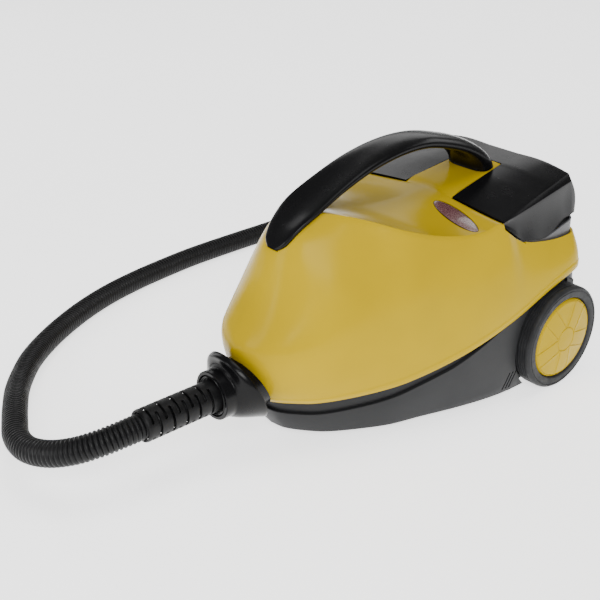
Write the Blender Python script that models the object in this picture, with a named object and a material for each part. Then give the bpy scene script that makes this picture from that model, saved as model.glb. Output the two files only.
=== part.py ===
"""Canister steam cleaner with a corrugated steam hose and a steam gun.

Frame: X = 0 is the machine's plane of symmetry, -Y is the nose where the hose leaves,
+Y is the rear with the big wheels, and Z = 0 is the floor.  Lengths are metres.
"""
import bpy
import bmesh
import math
import numpy as np
from mathutils import Vector

MM = 0.001

# ---- driving dimensions, in millimetres -------------------------------------------------
GAP = 0.4                      # clearance between two pieces that touch
WALL = 2.4                     # moulded wall thickness
HALF_LENGTH = 194.5            # nozzle face to wheel rim, halved
WHEEL_R = 53.0                 # rear wheel, over the tyre
WHEEL_OUT_X = 122.4            # outer face of a rear wheel
WHEEL_W = 20.4                 # tyre width
CAP_R = 41.2                   # yellow wheel disc
AXLE_Y = HALF_LENGTH - WHEEL_R
AXLE_R = 4.0
BASE_Z = 12.0                  # lower edge of the grey base
UNDERSIDE_Z = 10.0
HOSE_D = 23.3                  # corrugated hose, outside
NOZZLE_Z = 66.0                # height of the hose outlet
SLEEVE_R = 14.6                # slotted strain relief
SLEEVE_LEN = 73.0
DECK_EDGE_Y = 69.0             # where the yellow deck meets the rear lid
PRONG_HALF = 29.7              # half width of the deck's rear tongue
PRONG_END_Y = 146.0
PRONG_RISE = 0.158             # slope of the deck's rear tongue
DECK_Z = 192.5
BOILER_R = 50.0
BOILER_HALF = 78.0
BOILER_AT = (0.0, 60.0, 97.0)
CAP_AT = (-58.0, 92.0)         # filler neck, X and Y
CASTER_AT = (0.0, -84.0)
CASTER_R = 11.0
CASTER_TRAIL = 8.0
HINGE_Y = 187.0                # rear lid hinge
HINGE_Z = 158.5
POCKET_R = WHEEL_R + 4.5       # wheel arch
POCKET_X = WHEEL_OUT_X - WHEEL_W - 3.0
WELL_Z = 152.6                 # underside of the filler well's floor
COIL_AT = (-237.5, 300.0)
COIL_R = 118.0                 # to the middle of the hose
GUN_Z = 18.4                   # middle of the steam gun, which lies on its side
GUN_TURN = 9.8                 # degrees from -Y towards -X
GUN_TAIL = (-143.9, 151.0)     # hose end of the gun's body
BASE_SCREWS = [(-56, -50), (56, -50), (-60, 172), (60, 172)]

YELLOW = (0.68, 0.45, 0.010)
BLACK = (0.028, 0.028, 0.030)
GREY = (0.078, 0.078, 0.081)
LIGHT_GREY = (0.21, 0.21, 0.22)
RUBBER = (0.035, 0.035, 0.037)
STEEL = (0.55, 0.56, 0.58)
BRASS = (0.60, 0.43, 0.16)
LENS_RED = (0.22, 0.06, 0.07)
WHITE = (0.75, 0.74, 0.70)

for old in list(bpy.data.objects):
    bpy.data.objects.remove(old, do_unlink=True)


# ---- materials and small helpers --------------------------------------------------------
def material(name, colour, roughness, metallic=0.0):
    m = bpy.data.materials.new(name)
    m.use_nodes = True
    shader = m.node_tree.nodes["Principled BSDF"]
    shader.inputs["Base Color"].default_value = (*colour, 1.0)
    shader.inputs["Roughness"].default_value = roughness
    shader.inputs["Metallic"].default_value = metallic
    return m


MATERIALS = {
    "yellow": material("yellow_gloss", YELLOW, 0.18),
    "black": material("black_gloss", BLACK, 0.25),
    "grey": material("grey_plastic", GREY, 0.4),
    "light_grey": material("light_grey_plastic", LIGHT_GREY, 0.4),
    "rubber": material("rubber", RUBBER, 0.7),
    "steel": material("steel", STEEL, 0.3, 1.0),
    "brass": material("brass", BRASS, 0.3, 1.0),
    "lens": material("lens_red", LENS_RED, 0.15),
    "white": material("white_plastic", WHITE, 0.5),
}


def finish(name, bm, mat, origin=(0, 0, 0), sharp=35):
    """Turn a bmesh in world millimetres into an object whose origin is at `origin`."""
    bmesh.ops.remove_doubles(bm, verts=bm.verts, dist=0.01)
    bmesh.ops.recalc_face_normals(bm, faces=bm.faces)
    shift = Vector(origin)
    for v in bm.verts:
        v.co = (v.co - shift) * MM
    mesh = bpy.data.meshes.new(name)
    bm.to_mesh(mesh)
    bm.free()
    obj = bpy.data.objects.new(name, mesh)
    obj.location = shift * MM
    bpy.context.scene.collection.objects.link(obj)
    mesh.materials.append(MATERIALS[mat])
    mesh.shade_smooth()
    mesh.set_sharp_from_angle(angle=math.radians(sharp))
    return obj


def add_grid(bm, grid, close=False):
    """Quads between rows of points; `close` also joins each row's end to its start."""
    rows = [[bm.verts.new(p) for p in row] for row in grid]
    for a, b in zip(rows, rows[1:]):
        count = len(a) if close else len(a) - 1
        for i in range(count):
            j = (i + 1) % len(a)
            bm.faces.new((a[i], a[j], b[j], b[i]))
    return rows


def loft(name, rings, mat, origin=(0, 0, 0), sharp=35):
    """A closed solid through rings of equal point counts, with flat or pointed ends."""
    bm = bmesh.new()
    rows = add_grid(bm, rings, close=True)
    bm.faces.new(rows[0])
    bm.faces.new(list(reversed(rows[-1])))
    return finish(name, bm, mat, origin, sharp)


def frame_of(axis):
    """Two unit vectors square to `axis`, right handed with it."""
    n = Vector(axis).normalized()
    side = Vector((0, 0, 1)) if abs(n.z) < 0.9 else Vector((1, 0, 0))
    u = side.cross(n).normalized()
    return u, n.cross(u), n


def turned(name, profile, centre, axis, mat, segments=32, origin=None, sharp=35):
    """Revolve a closed outline of (radius, height) points about `axis` through `centre`."""
    u, v, n = frame_of(axis)
    at = Vector(centre)
    bm = bmesh.new()
    columns = []
    for k in range(segments):
        a = 2 * math.pi * k / segments
        out = u * math.cos(a) + v * math.sin(a)
        columns.append([bm.verts.new(at + out * r + n * h) for r, h in profile])
    for k in range(segments):
        a, b = columns[k], columns[(k + 1) % segments]
        for i in range(len(profile)):
            j = (i + 1) % len(profile)
            if profile[i][0] == 0 and profile[j][0] == 0:
                continue
            bm.faces.new((a[i], a[j], b[j], b[i]))
    bmesh.ops.remove_doubles(bm, verts=bm.verts, dist=0.005)
    return finish(name, bm, mat, origin or centre, sharp)


def prism(name, outline, axis, low, high, mat, origin=(0, 0, 0), sharp=35):
    """Extrude an outline of two coordinates along axis 0, 1 or 2."""
    def point(p, h):
        c = list(p)
        c.insert(axis, h)
        return c
    rings = [[point(p, h) for p in outline] for h in (low, high)]
    return loft(name, rings, mat, origin, sharp)


def rounded_rect(half_a, half_b, radius, centre=(0, 0), steps=3):
    points = []
    corners = ((1, 1, 0), (-1, 1, 90), (-1, -1, 180), (1, -1, 270))
    for sa, sb, start in corners:
        for k in range(steps + 1):
            t = math.radians(start + 90 * k / steps)
            points.append((centre[0] + sa * (half_a - radius) + radius * math.cos(t),
                           centre[1] + sb * (half_b - radius) + radius * math.sin(t)))
    return points


def box(name, low, high, mat, radius=0.0, origin=(0, 0, 0)):
    half = [(h - l) / 2 for l, h in zip(low, high)]
    mid = [(h + l) / 2 for l, h in zip(low, high)]
    if radius:
        outline = rounded_rect(half[0], half[1], radius, mid[:2])
    else:
        outline = [(low[0], low[1]), (high[0], low[1]), (high[0], high[1]), (low[0], high[1])]
    return prism(name, outline, 2, low[2], high[2], mat, origin)


def boolean(obj, other, operation):
    mod = obj.modifiers.new(operation.lower(), "BOOLEAN")
    mod.operation = operation
    mod.object = other
    other.hide_render = True
    other.display_type = "WIRE"
    return obj


def cut(obj, other):
    return boolean(obj, other, "DIFFERENCE")


def join(obj, other):
    return boolean(obj, other, "UNION")


def drill(obj, name, centre, axis, radius, length, segments=24):
    """Cut a round hole centred on `centre`."""
    half = length / 2
    tool = turned(name, [(0, -half), (radius, -half), (radius, half), (0, half)],
                  centre, axis, "steel", segments)
    return cut(obj, tool)


def thicken(obj, thickness, offset=-1.0):
    mod = obj.modifiers.new("wall", "SOLIDIFY")
    mod.thickness = thickness * MM
    mod.offset = offset
    mod.use_even_offset = False
    return obj


def spline(knots, t):
    """Smooth value(s) at t through (t, value...) knots, by Catmull-Rom tangents."""
    ts = [k[0] for k in knots]
    values = np.array([k[1:] for k in knots], float)
    i = int(np.clip(np.searchsorted(ts, t) - 1, 0, len(ts) - 2))
    h = ts[i + 1] - ts[i]
    s = (t - ts[i]) / h

    def tangent(k):
        a, b = max(k - 1, 0), min(k + 1, len(ts) - 1)
        return (values[b] - values[a]) / (ts[b] - ts[a])
    m0, m1 = tangent(i) * h, tangent(i + 1) * h
    s2, s3 = s * s, s * s * s
    return ((2 * s3 - 3 * s2 + 1) * values[i] + (s3 - 2 * s2 + s) * m0
            + (3 * s2 - 2 * s3) * values[i + 1] + (s3 - s2) * m1)


# ---- outer form of the housing ----------------------------------------------------------
# Each rib runs up the side of the housing: its station along the plan, the point on the
# base's lower edge (X, Y), the lower edge of the yellow shell (X, Y, Z), the shell's
# upper edge or crease (X, Y, Z), and how far the nose's swell still shows there.
RIBS = [
    (0.0, 0, -129, 0, -148, 47, 0, -95.8, 210.4, 1.0),
    (0.5, 15, -126, 17, -143, 47, 8, -93.2, 211.6, 0.92),
    (1.0, 30, -116, 31, -132, 47, 12.5, -87.4, 212.6, 0.76),
    (1.6, 45, -102, 48, -115, 48, 18, -82, 214.2, 0.55),
    (2.4, 60, -79, 67, -88, 52, 32.5, -76.5, 214.2, 0.34),
    (3.3, 75, -50, 84, -54, 57, 49.5, -54.8, 205.5, 0.20),
    (4.2, 84, -20, 94, -28, 63, 68, -34, 198, 0.14),
    (5.0, 91, 2, 101, -5, 69, 77, -8, 189, 0.10),
    (5.8, 97, 22, 106.5, 20, 75.5, 86, 20, 183.5, 0.10),
    (6.6, 103, 46, 110, 48, 83, 91.5, 46, 182, 0.10),
    (7.3, 107, 68, 111.7, 70, 89.5, 93, 69, 184, 0.10),
    (7.8, 108.5, 86, 112.6, 87, 95, 95, 86, 167, 0.08),
    (8.1, 109, 98, 113, 98, 99, 96, 97, 160, 0.07),
    (8.6, 109, 116, 113.2, 116, 105, 97, 115, 154.5, 0.06),
    (9.4, 108, 145, 112, 146, 112, 97, 147, 149, 0.05),
    (10.0, 105, 168, 108, 170, 114, 96, 172, 148, 0.04),
    (10.4, 99, 181, 101, 182, 114, 91, 181, 148, 0.03),
    (10.8, 88, 187, 90, 188, 114, 80, 186, 148, 0.02),
    (11.8, 45, 188.5, 45, 189.5, 114, 40, 187.5, 148, 0.02),
    (12.8, 0, 189, 0, 190, 114, 0, 188, 148, 0.02),
]
SIDE_STATION = 7.3             # the rib where the deck ends and the rear lid begins
NOSE_SWELL = [(0, 0), (0.08, 8), (0.19, 21), (0.29, 29), (0.37, 30), (0.45, 23),
              (0.54, 17.5), (0.64, 17), (0.75, 16), (0.85, 10.5), (0.94, 4.2), (1, 0)]
SIDE_SWELL = 70.0              # swell of a plain side, scaled by the rib's last value
DECK_MIDDLE = [(-98, 211), (-85, 212), (-60, 205), (-30, 198.5), (0, 194.8), (35, 192.4),
               (69, 193.3)]
NOSE_PART = 2.4                # stations before this one take the nose's own swell


def rib(station):
    return spline(RIBS, station)


def plan_normal(station):
    """Outward direction in plan of the shell's lower edge."""
    a, b = rib(max(station - 0.05, 0))[2:4], rib(min(station + 0.05, 12.8))[2:4]
    d = b - a
    if station == 0:
        return np.array([0.0, -1.0])
    if station == 12.8:
        return np.array([0.0, 1.0])
    return np.array([d[1], -d[0]]) / np.hypot(*d)


def shell_point(station, v, inset=0.0):
    """Point on the yellow shell's side, v = 0 at its lower edge and 1 at its upper edge."""
    r = rib(station)
    low, high = r[2:5], r[5:8]
    p = low + (high - low) * v
    share = max(0.0, 1 - station / NOSE_PART) ** 1.2
    nose = spline(NOSE_SWELL, v)[0]
    side = SIDE_SWELL * math.sin(math.pi * max(v, 0.0) ** 0.9)
    push = (nose * share + side * (1 - share)) * r[8]
    if station > SIDE_STATION:
        push = side * r[8]
    p[:2] += plan_normal(station) * (push - inset)
    return p


def deck_point(station, t):
    """Point on the deck, t = 0 at its crease and 1 on the middle line."""
    edge = rib(station)[5:8]
    y = edge[1]
    middle = spline(DECK_MIDDLE, y)[0]
    ease = t * t * (3 - 2 * t)
    return np.array([edge[0] * (1 - t), y, edge[2] + (middle - edge[2]) * (0.5 * t + 0.5 * ease)])


def mirrored(points):
    return [(-p[0], p[1], p[2]) for p in points]


def add_both(bm, grid):
    add_grid(bm, grid)
    add_grid(bm, [mirrored(row) for row in grid])


FRONT_STATIONS = [0, 0.3, 0.6, 1.0, 1.4, 1.9, 2.4, 3.0, 3.6, 4.2, 5.0, 5.8, 6.6, 7.3]
REAR_STATIONS = [7.3, 7.55, 7.8, 8.1, 8.6, 9.4, 10.0, 10.3, 10.6, 11.0, 11.8, 12.8]
SHELL_ROWS = [0, 0.06, 0.15, 0.25, 0.35, 0.46, 0.6, 0.75, 0.89, 1.0]
PRONG_T = 1 - PRONG_HALF / 93.0
DECK_COLUMNS = [0, 0.12, 0.3, 0.5, PRONG_T, PRONG_T + (1 - PRONG_T) / 2, 1.0]


def prong_half(y):
    return PRONG_HALF - 0.078 * (y - DECK_EDGE_Y)


def prong_z(y):
    return DECK_Z + PRONG_RISE * (y - DECK_EDGE_Y)


def upper_shell():
    bm = bmesh.new()
    for stations in (FRONT_STATIONS, REAR_STATIONS):
        add_both(bm, [[shell_point(s, v) for v in SHELL_ROWS] for s in stations])
    deck = [[deck_point(s, t) for t in DECK_COLUMNS] for s in FRONT_STATIONS]
    add_both(bm, deck)
    tail = [deck[-1][4:]]
    for y in (80, 95, 110, 125, 138, PRONG_END_Y):
        half, z = prong_half(y), prong_z(y)
        tail.append([(half, y, z), (half / 2, y, z + 0.6), (0, y, z + 0.8)])
    add_both(bm, tail)
    bmesh.ops.remove_doubles(bm, verts=bm.verts, dist=0.05)
    bmesh.ops.dissolve_degenerate(bm, edges=bm.edges, dist=0.02)
    obj = finish("upper_shell", bm, "yellow", sharp=25)
    return thicken(obj, WALL)


# ---- base --------------------------------------------------------------------------------
BASE_STATIONS = FRONT_STATIONS + REAR_STATIONS[1:]
BASE_ROWS = [0.0, 0.35, 0.7, 1.0]


def base_point(station, v, inset=0.0):
    """Point on the base's side, v = 0 at its lower edge and 1 inside the yellow shell."""
    r = rib(station)
    normal = plan_normal(station)
    top = np.array([*(r[2:4] - normal * 5.0), r[4] + 4.0])
    low = np.array([r[0], r[1], BASE_Z])
    p = low + (top - low) * v
    p[:2] += normal * (2.0 * math.sin(math.pi * v) - inset)
    return p


def wheel_pocket(side):
    """Arched box that the rear wheel sits in, before it is hollowed."""
    radius = POCKET_R + WALL
    arch = [(AXLE_Y - radius * math.cos(math.pi * k / 16),
             WHEEL_R + radius * math.sin(math.pi * k / 16)) for k in range(17)]
    arch = [(y, z) for y, z in arch if y < 186.0]
    floor = UNDERSIDE_Z + 0.1
    arch = [(arch[0][0], floor)] + arch + [(186.0, floor)]
    xs = sorted((side * (POCKET_X - WALL), side * 107.0))
    return prism(f"pocket_outer_{side}", arch, 0, xs[0], xs[1], "grey")


def base_shell():
    bm = bmesh.new()
    add_both(bm, [[base_point(s, v) for v in BASE_ROWS] for s in BASE_STATIONS])
    rim = [base_point(s, 0) for s in BASE_STATIONS]
    foot = [np.array([p[0] * 0.95, p[1] * 0.97, UNDERSIDE_Z]) for p in rim]
    add_both(bm, [rim, foot])
    loop = foot + [np.array([-p[0], p[1], p[2]]) for p in foot[-2:0:-1]]
    bm.faces.new([bm.verts.new(p) for p in loop])
    shell = finish("base_shell", bm, "grey", sharp=30)
    thicken(shell, WALL)
    for side in (1, -1):
        join(shell, wheel_pocket(side))
    tower = turned("caster_tower", [(0, 0), (26, 0), (26, 26), (0, 26)],
                   (*CASTER_AT, UNDERSIDE_Z + 0.1), (0, 0, 1), "grey", 32)
    join(shell, tower)
    for side in (1, -1):
        arch = turned(f"pocket_inner_{side}",
                      [(0, -20), (POCKET_R, -20), (POCKET_R, 20), (0, 20)],
                      (side * (POCKET_X + 20), AXLE_Y, WHEEL_R), (1, 0, 0), "steel", 32)
        cut(shell, arch)
        drill(shell, f"axle_hole_{side}", (side * 98, AXLE_Y, WHEEL_R), (1, 0, 0),
              AXLE_R + 0.3, 12, 16)
        for k in range(3):
            y = 66.5 + 4.8 * k
            slot = [(y, 15), (y + 1.9, 15), (y + 9.9, 32), (y + 8, 32)]
            xs = sorted((side * 98.0, side * 118.0))
            cut(shell, prism(f"vent_{side}_{k}", slot, 0, xs[0], xs[1], "steel"))
    hollow = turned("caster_hollow", [(0, -4), (23.6, -4), (23.6, 23.4), (0, 23.4)],
                    (*CASTER_AT, UNDERSIDE_Z), (0, 0, 1), "steel", 32)
    cut(shell, hollow)
    drill(shell, "caster_hole", (*CASTER_AT, 35), (0, 0, 1), 5.12, 12, 30)
    drill(shell, "outlet_hole_base", (0, -136, NOZZLE_Z), (0, 1, 0), 19.5, 60)
    for i, (x, y) in enumerate(BASE_SCREWS):
        join(shell, turned(f"screw_boss_{i}", [(0, 0), (7, 0), (7, 8), (0, 8)],
                           (x, y, UNDERSIDE_Z + 0.1), (0, 0, 1), "grey", 12))
        drill(shell, f"base_screw_head_{i}", (x, y, 11), (0, 0, 1), 4.3, 6, 12)
        drill(shell, f"base_screw_hole_{i}", (x, y, 16), (0, 0, 1), 2.4, 8, 12)
    drill(shell, "gland_hole", (-45, 189, 45), (0, 1, 0), 6.3, 14, 16)
    cut(shell, box("switch_hole", (-15.4, 178, 60.1), (15.4, 198, 83.9), "steel"))
    return shell


# ---- rear lid, filler well and handle ----------------------------------------------------
LID_GAP = 0.7
LID_STATIONS = [70, 86, 97, 115, 132, 147.5, 162, 174, 179]
LID_LOW = [(70, 93.6, 181), (86, 95.4, 168.2), (97, 95.6, 161.2), (115, 95.6, 156.2),
           (132, 94.6, 153.5), (147.5, 92.8, 155.7), (162, 90.6, 159.2), (174, 88.5, 161.2),
           (187, 87, 163)]
LID_EDGE = [(69.7, 93.2, 184.6), (115, 90.2, 189.5), (147.5, 87.6, 193), (179, 85, 196.3)]
LID_SHOULDER = [(69.7, 91.8, 185.0), (115, 87, 193), (147.5, 84, 198), (179, 80.5, 203)]


def lid_top_z(x, y):
    """Height of the lid's crowned top inboard of its shoulder."""
    shoulder = spline(LID_SHOULDER, y)
    inner = prong_z(y) if y < PRONG_END_Y else 205.0 + (y - PRONG_END_Y) * 0.07
    t = min(1.0, (shoulder[0] - abs(x)) / (shoulder[0] - 20.0))
    crown = 2.5 * math.sin(math.pi * t) * min(1.0, (y - 60) / 60)
    return shoulder[1] + (inner - shoulder[1]) * t + crown


def lid_inner(y):
    """Inner edge of the lid's two arms, beside the deck's tongue."""
    return prong_half(min(y, 147.5)) + LID_GAP


def rear_lid():
    bm = bmesh.new()
    top, side = [], []
    for y in LID_STATIONS:
        edge, shoulder = spline(LID_EDGE, y), spline(LID_SHOULDER, y)
        stop = lid_inner(y)
        xs = [shoulder[0] + (stop - shoulder[0]) * t for t in (0, 0.12, 0.35, 0.65, 1.0)]
        top.append([(edge[0], y, edge[1])] + [(x, y, lid_top_z(x, y)) for x in xs])
        low_y = y if y < 179 else 187.0
        low = spline(LID_LOW, low_y)
        rows = []
        for t in (0, 0.35, 0.7, 1.0):
            hollow = 1.6 * math.sin(math.pi * t)
            bulge = 6.0 * math.sin(math.pi * t) if y >= 179 else 0.0
            rows.append((edge[0] + (low[0] - edge[0]) * t - hollow,
                         y + (low_y - y) * t + bulge, edge[1] + (low[1] - edge[1]) * t))
        side.append(rows)
    add_both(bm, top)
    add_both(bm, side)
    rear_ys = [y for y in LID_STATIONS if y > PRONG_END_Y]
    middle = [[(x, y, lid_top_z(x, y)) for x in (stop, 11.5, 0)] for y in rear_ys]
    add_both(bm, middle)
    corner = side[-1]
    across = top[-1][1:] + middle[-1][1:]
    wall = []
    for k, c in enumerate(corner):
        t = (0, 0.35, 0.7, 1.0)[k]
        row = [c]
        for p in across:
            share = (85 - p[0]) / 85
            y = c[1] + 1.2 * math.sin(math.pi / 2 * share) * t
            z = p[2] + (163.0 - p[2]) * t
            row.append((p[0], y if k else p[1], z))
        wall.append(row)
    add_both(bm, wall)
    lid = finish("rear_lid", bm, "black", (0, HINGE_Y, HINGE_Z), sharp=25)
    thicken(lid, 2.2)
    for i, x in enumerate((-62, 62)):
        ear = turned(f"lid_ear_{i}", [(0, -5), (4, -5), (4, 5), (0, 5)],
                     (x, HINGE_Y, HINGE_Z), (1, 0, 0), "black", 16)
        web = box(f"lid_web_{i}", (x - 4.6, 184.8, HINGE_Z - 1), (x + 4.6, 189, 169), "black")
        join(lid, web)
        join(lid, ear)
        drill(lid, f"lid_bore_{i}", (x, HINGE_Y, HINGE_Z), (1, 0, 0), 1.58, 14, 12)
    return lid


def lid_seat(shell):
    """Trim the yellow shell's upper edge to a line just under the lid."""
    line = [(69.3, 179.6), (86, 166.6), (97, 159.8), (100, 158.0), (100, 200), (69.3, 200)]
    for side in (1, -1):
        xs = sorted((side * 80.0, side * 125.0))
        cut(shell, prism(f"lid_seat_{side}", line, 0, xs[0], xs[1], "steel"))


def hinge_pins():
    for side, x in (("left", -62), ("right", 62)):
        turned(f"lid_hinge_pin_{side}", [(0, -11.5), (1.5, -11.5), (1.5, 11.5), (0, 11.5)],
               (x, HINGE_Y, HINGE_Z), (1, 0, 0), "steel", 12)


def well_outline(inset, steps=4):
    """Plan of the filler well: straight front, rounded rear corners."""
    half, front, back = 89.0 - inset, 75.0 + inset, 184.4 - inset
    radius = 14.0
    points = [(half, front)]
    for k in range(steps + 1):
        a = math.radians(90 * k / steps)
        points.append((half - 3 - radius + radius * math.cos(a),
                       back - radius + radius * math.sin(a)))
    return points + [(-x, y) for x, y in reversed(points)]


def filler_well():
    well = prism("filler_well", well_outline(0), 2, WELL_Z, 158.5, "light_grey")
    cut(well, prism("well_hollow", well_outline(WALL), 2, WELL_Z + WALL, 175, "steel"))
    for i, x in enumerate((-62, 62)):
        for k, shift in enumerate((-8.2, 8.2)):
            lug = turned(f"well_lug_{i}_{k}", [(0, -2.6), (4, -2.6), (4, 2.6), (0, 2.6)],
                         (x + shift, HINGE_Y, HINGE_Z), (1, 0, 0), "light_grey", 16)
            arm = box(f"well_arm_{i}_{k}", (x + shift - 2.6, 180, 154.0),
                      (x + shift + 2.6, HINGE_Y, HINGE_Z), "light_grey")
            join(well, arm)
            join(well, lug)
        drill(well, f"well_bore_{i}", (x, HINGE_Y, HINGE_Z), (1, 0, 0), 1.53, 26, 12)
        drill(well, f"well_notch_{i}", (x, HINGE_Y, HINGE_Z), (1, 0, 0), 4.5, 10.8, 16)
    post = box("well_post", (-17, 86, WELL_Z + 1), (17, 138, 186), "light_grey", 4)
    slope = prism("post_slope", [(60, prong_z(60) - 3.4), (160, prong_z(160) - 3.4), (160, 260),
                                 (60, 260)], 0, -30, 30, "steel")
    cut(post, slope)
    post.hide_render = True
    join(well, post)
    inside = box("post_hollow", (-14.6, 88.4, WELL_Z - 1), (14.6, 135.6, 183), "steel", 2)
    cut(well, inside)
    drill(well, "neck_hole", (*CAP_AT, WELL_Z), (0, 0, 1), 12.6, 12, 24)
    drill(well, "post_screw_hole", (0, 126, 190), (0, 0, 1), 2.3, 24, 12)
    return well


HANDLE_PATH = [  # station, Y, Z of the middle, half width, half thickness, dish of the top
    (0.0, -124.0, 184.5, 6, 3.2, 0.5), (0.5, -119, 192.5, 12, 3.6, 1.5),
    (1.0, -109, 203, 18, 4.0, 3.0), (2.0, -88, 216, 22, 4.4, 4.0),
    (3.0, -58, 228.8, 21.3, 5.0, 3.6), (4.0, -24, 239.4, 20.8, 5.8, 2.0),
    (5.0, 12, 245, 20.2, 6.2, 0.0), (6.0, 46, 244.3, 19.6, 6.2, -1.5),
    (7.0, 78, 236.6, 20.2, 6.2, -2.2), (8.0, 104, 226.6, 22.2, 7.0, -2.2),
    (9.0, 123, 213.5, 24.2, 9.4, -1.6), (10.0, 130.4, 200, 25, 13.6, -0.6),
    (10.5, 130.6, 190, 25, 15.2, 0.0)]
HANDLE_STATIONS = [0, 0.25, 0.5, 0.75, 1, 1.5, 2, 2.5, 3, 3.5, 4, 4.5, 5, 5.5, 6, 6.5, 7, 7.5,
                   8, 8.5, 9, 9.5, 10, 10.5]
HANDLE_SIDES = 14


def handle_ring(station, grow=0.0):
    y, z, half, thick, dish = spline(HANDLE_PATH, station)
    ahead = spline(HANDLE_PATH, min(station + 0.05, 10.5))[:2]
    behind = spline(HANDLE_PATH, max(station - 0.05, 0))[:2]
    along = (ahead - behind) / np.hypot(*(ahead - behind))
    up = np.array([-along[1], along[0]])
    ring = []
    for k in range(HANDLE_SIDES):
        a = 2 * math.pi * k / HANDLE_SIDES
        c, s = math.cos(a), math.sin(a)
        across = (half + grow) * math.copysign(abs(c) ** 0.75, c)
        height = (thick + grow) * math.copysign(abs(s) ** 0.8, s)
        height -= dish * (1 - (across / (half + grow)) ** 2)
        ring.append((across, y + up[0] * height, z + up[1] * height))
    return ring


def handle():
    grip = loft("handle", [handle_ring(s) for s in HANDLE_STATIONS], "black", sharp=50)
    under = prism("handle_seat", [(60, prong_z(60) + 1.3), (160, prong_z(160) + 1.3), (160, 150),
                                  (60, 150)], 0, -40, 40, "steel")
    cut(grip, under)
    drill(grip, "handle_screw_hole_rear", (0, 126, 208), (0, 0, 1), 2.3, 14, 12)
    return grip


def handle_pocket(shell):
    """Opening in the yellow shell that the front of the handle sits in."""
    rings = [handle_ring(s, 0.45) for s in HANDLE_STATIONS if s <= 4]
    first = [(p[0] * 1.05, p[1] - 0.4, p[2] - 0.5) for p in rings[0]]
    cut(shell, loft("handle_pocket", [first] + rings, "steel"))


# ---- nose outlet and hose ----------------------------------------------------------------
FLARE = [(-HALF_LENGTH, 22.5, 22.5), (-185, 22.5, 22.5), (-181, 24.5, 26), (-176.5, 28, 29),
         (-172, 31, 31), (-165, 34, 32.6), (-160.5, 35, 33), (-158.8, 34.2, 32.2),
         (-158, 26, 26), (-120, 26, 26)]


def housing_core(name, point, rows):
    """Solid of the housing's outside, a little larger than it, to cut a neighbour with."""
    stations = [s for s in BASE_STATIONS if s <= 5.0]
    rings = []
    for v in rows:
        near = [point(s, v, -GAP) for s in stations]
        far = [np.array([-p[0], p[1], p[2]]) for p in near[1:]]
        rings.append(near + far[::-1])
    return loft(name, rings, "steel")


def outlet_flange():
    rings = []
    for y, a, b in FLARE:
        drop = 0.0 if y < -176 else -0.02 * (y + 176)
        rings.append([(a * math.cos(2 * math.pi * k / 32), y,
                       NOZZLE_Z - drop + b * math.sin(2 * math.pi * k / 32)) for k in range(32)])
    flange = loft("outlet_flange", rings, "black", sharp=40)
    cut(flange, housing_core("nose_core", shell_point, [-0.02] + SHELL_ROWS[1:-2]))
    cut(flange, housing_core("base_core", base_point, [-0.3, 0.0, 0.3, 0.65, 0.93]))
    drill(flange, "socket_bore", (0, -165, NOZZLE_Z), (0, 1, 0), 19.3, 80, 24)
    return flange


def hose_fittings():
    at = (0, 0, NOZZLE_Z)
    axis = (0, -1, 0)
    turned("socket_ring", [(15.2, 182), (18.8, 182), (18.8, 193.8), (17.6, 194.3), (16.6, 193),
                           (15.2, 193)], at, axis, "black", 24)
    start, end = 178.0, HALF_LENGTH + SLEEVE_LEN
    profile = [(12.2, start), (18.0, start), (18.0, 181.6), (14.9, 181.6), (SLEEVE_R, 202),
               (SLEEVE_R, end - 3), (13.6, end), (12.2, end)]
    turned("strain_relief", profile, at, axis, "rubber", 20)


HOSE_ROUTE = [  # centre of the hose from the strain relief to the coil
    (0, -267.9, 66), (-1.5, -283.8, 64.8), (-7.6, -302.3, 60.9), (-19.7, -319.6, 55),
    (-38.6, -332.7, 48.6), (-63.1, -339, 43.2), (-90.5, -335.4, 39.7), (-117.7, -323.2, 37.6),
    (-147.7, -307.6, 33.7), (-178.7, -290.6, 27.1), (-208.1, -270.6, 21.6),
    (-237.1, -246.4, 17.9), (-264.1, -217.1, 14.5), (-288.3, -182.8, 12.5), (-308.9, -144, 12),
    (-324.7, -103, 11.9), (-336, -58.4, 11.8), (-343.5, -11, 11.8), (-348.4, 34.7, 11.8),
    (-350, 100, 11.8), (-350, 150, 11.8), (-350.8, 200, 11.8)]


def hose_tube(name, route, points):
    """A round tube along a smooth curve through `route`."""
    route = np.array(route, float)
    steps = np.hypot.reduce(np.diff(route, axis=0), axis=1)
    along = np.concatenate([[0], np.cumsum(steps)])
    knots = [(t, *p) for t, p in zip(along, route)]
    curve = bpy.data.curves.new(name, "CURVE")
    curve.dimensions = "3D"
    line = curve.splines.new("POLY")
    line.points.add(points - 1)
    for k in range(points):
        p = spline(knots, along[-1] * k / (points - 1)) * MM
        line.points[k].co = (*p, 1)
    curve.bevel_depth = HOSE_D / 2 * MM
    curve.bevel_resolution = 3
    curve.use_fill_caps = True
    curve.materials.append(MATERIALS["rubber"])
    obj = bpy.data.objects.new(name, curve)
    bpy.context.scene.collection.objects.link(obj)
    return obj


def hose():
    hose_tube("steam_hose", HOSE_ROUTE, 24)
    hose_tube("steam_hose_tail", [gun_point(s, 0, GUN_Z) for s in (-20.0, -16.4, -12.6)], 3)
    half, low, high = HOSE_D / 2, 0.2, 2 * HOSE_D + 0.2
    turned("steam_hose_coil",
           [(COIL_R - half, low + 4), (COIL_R - half + 4, low), (COIL_R + half - 4, low),
            (COIL_R + half, low + 4), (COIL_R + half, high - 4), (COIL_R + half - 4, high),
            (COIL_R - half + 4, high), (COIL_R - half, high - 4)],
           (*COIL_AT, 0), (0, 0, 1), "rubber", 28)


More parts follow.
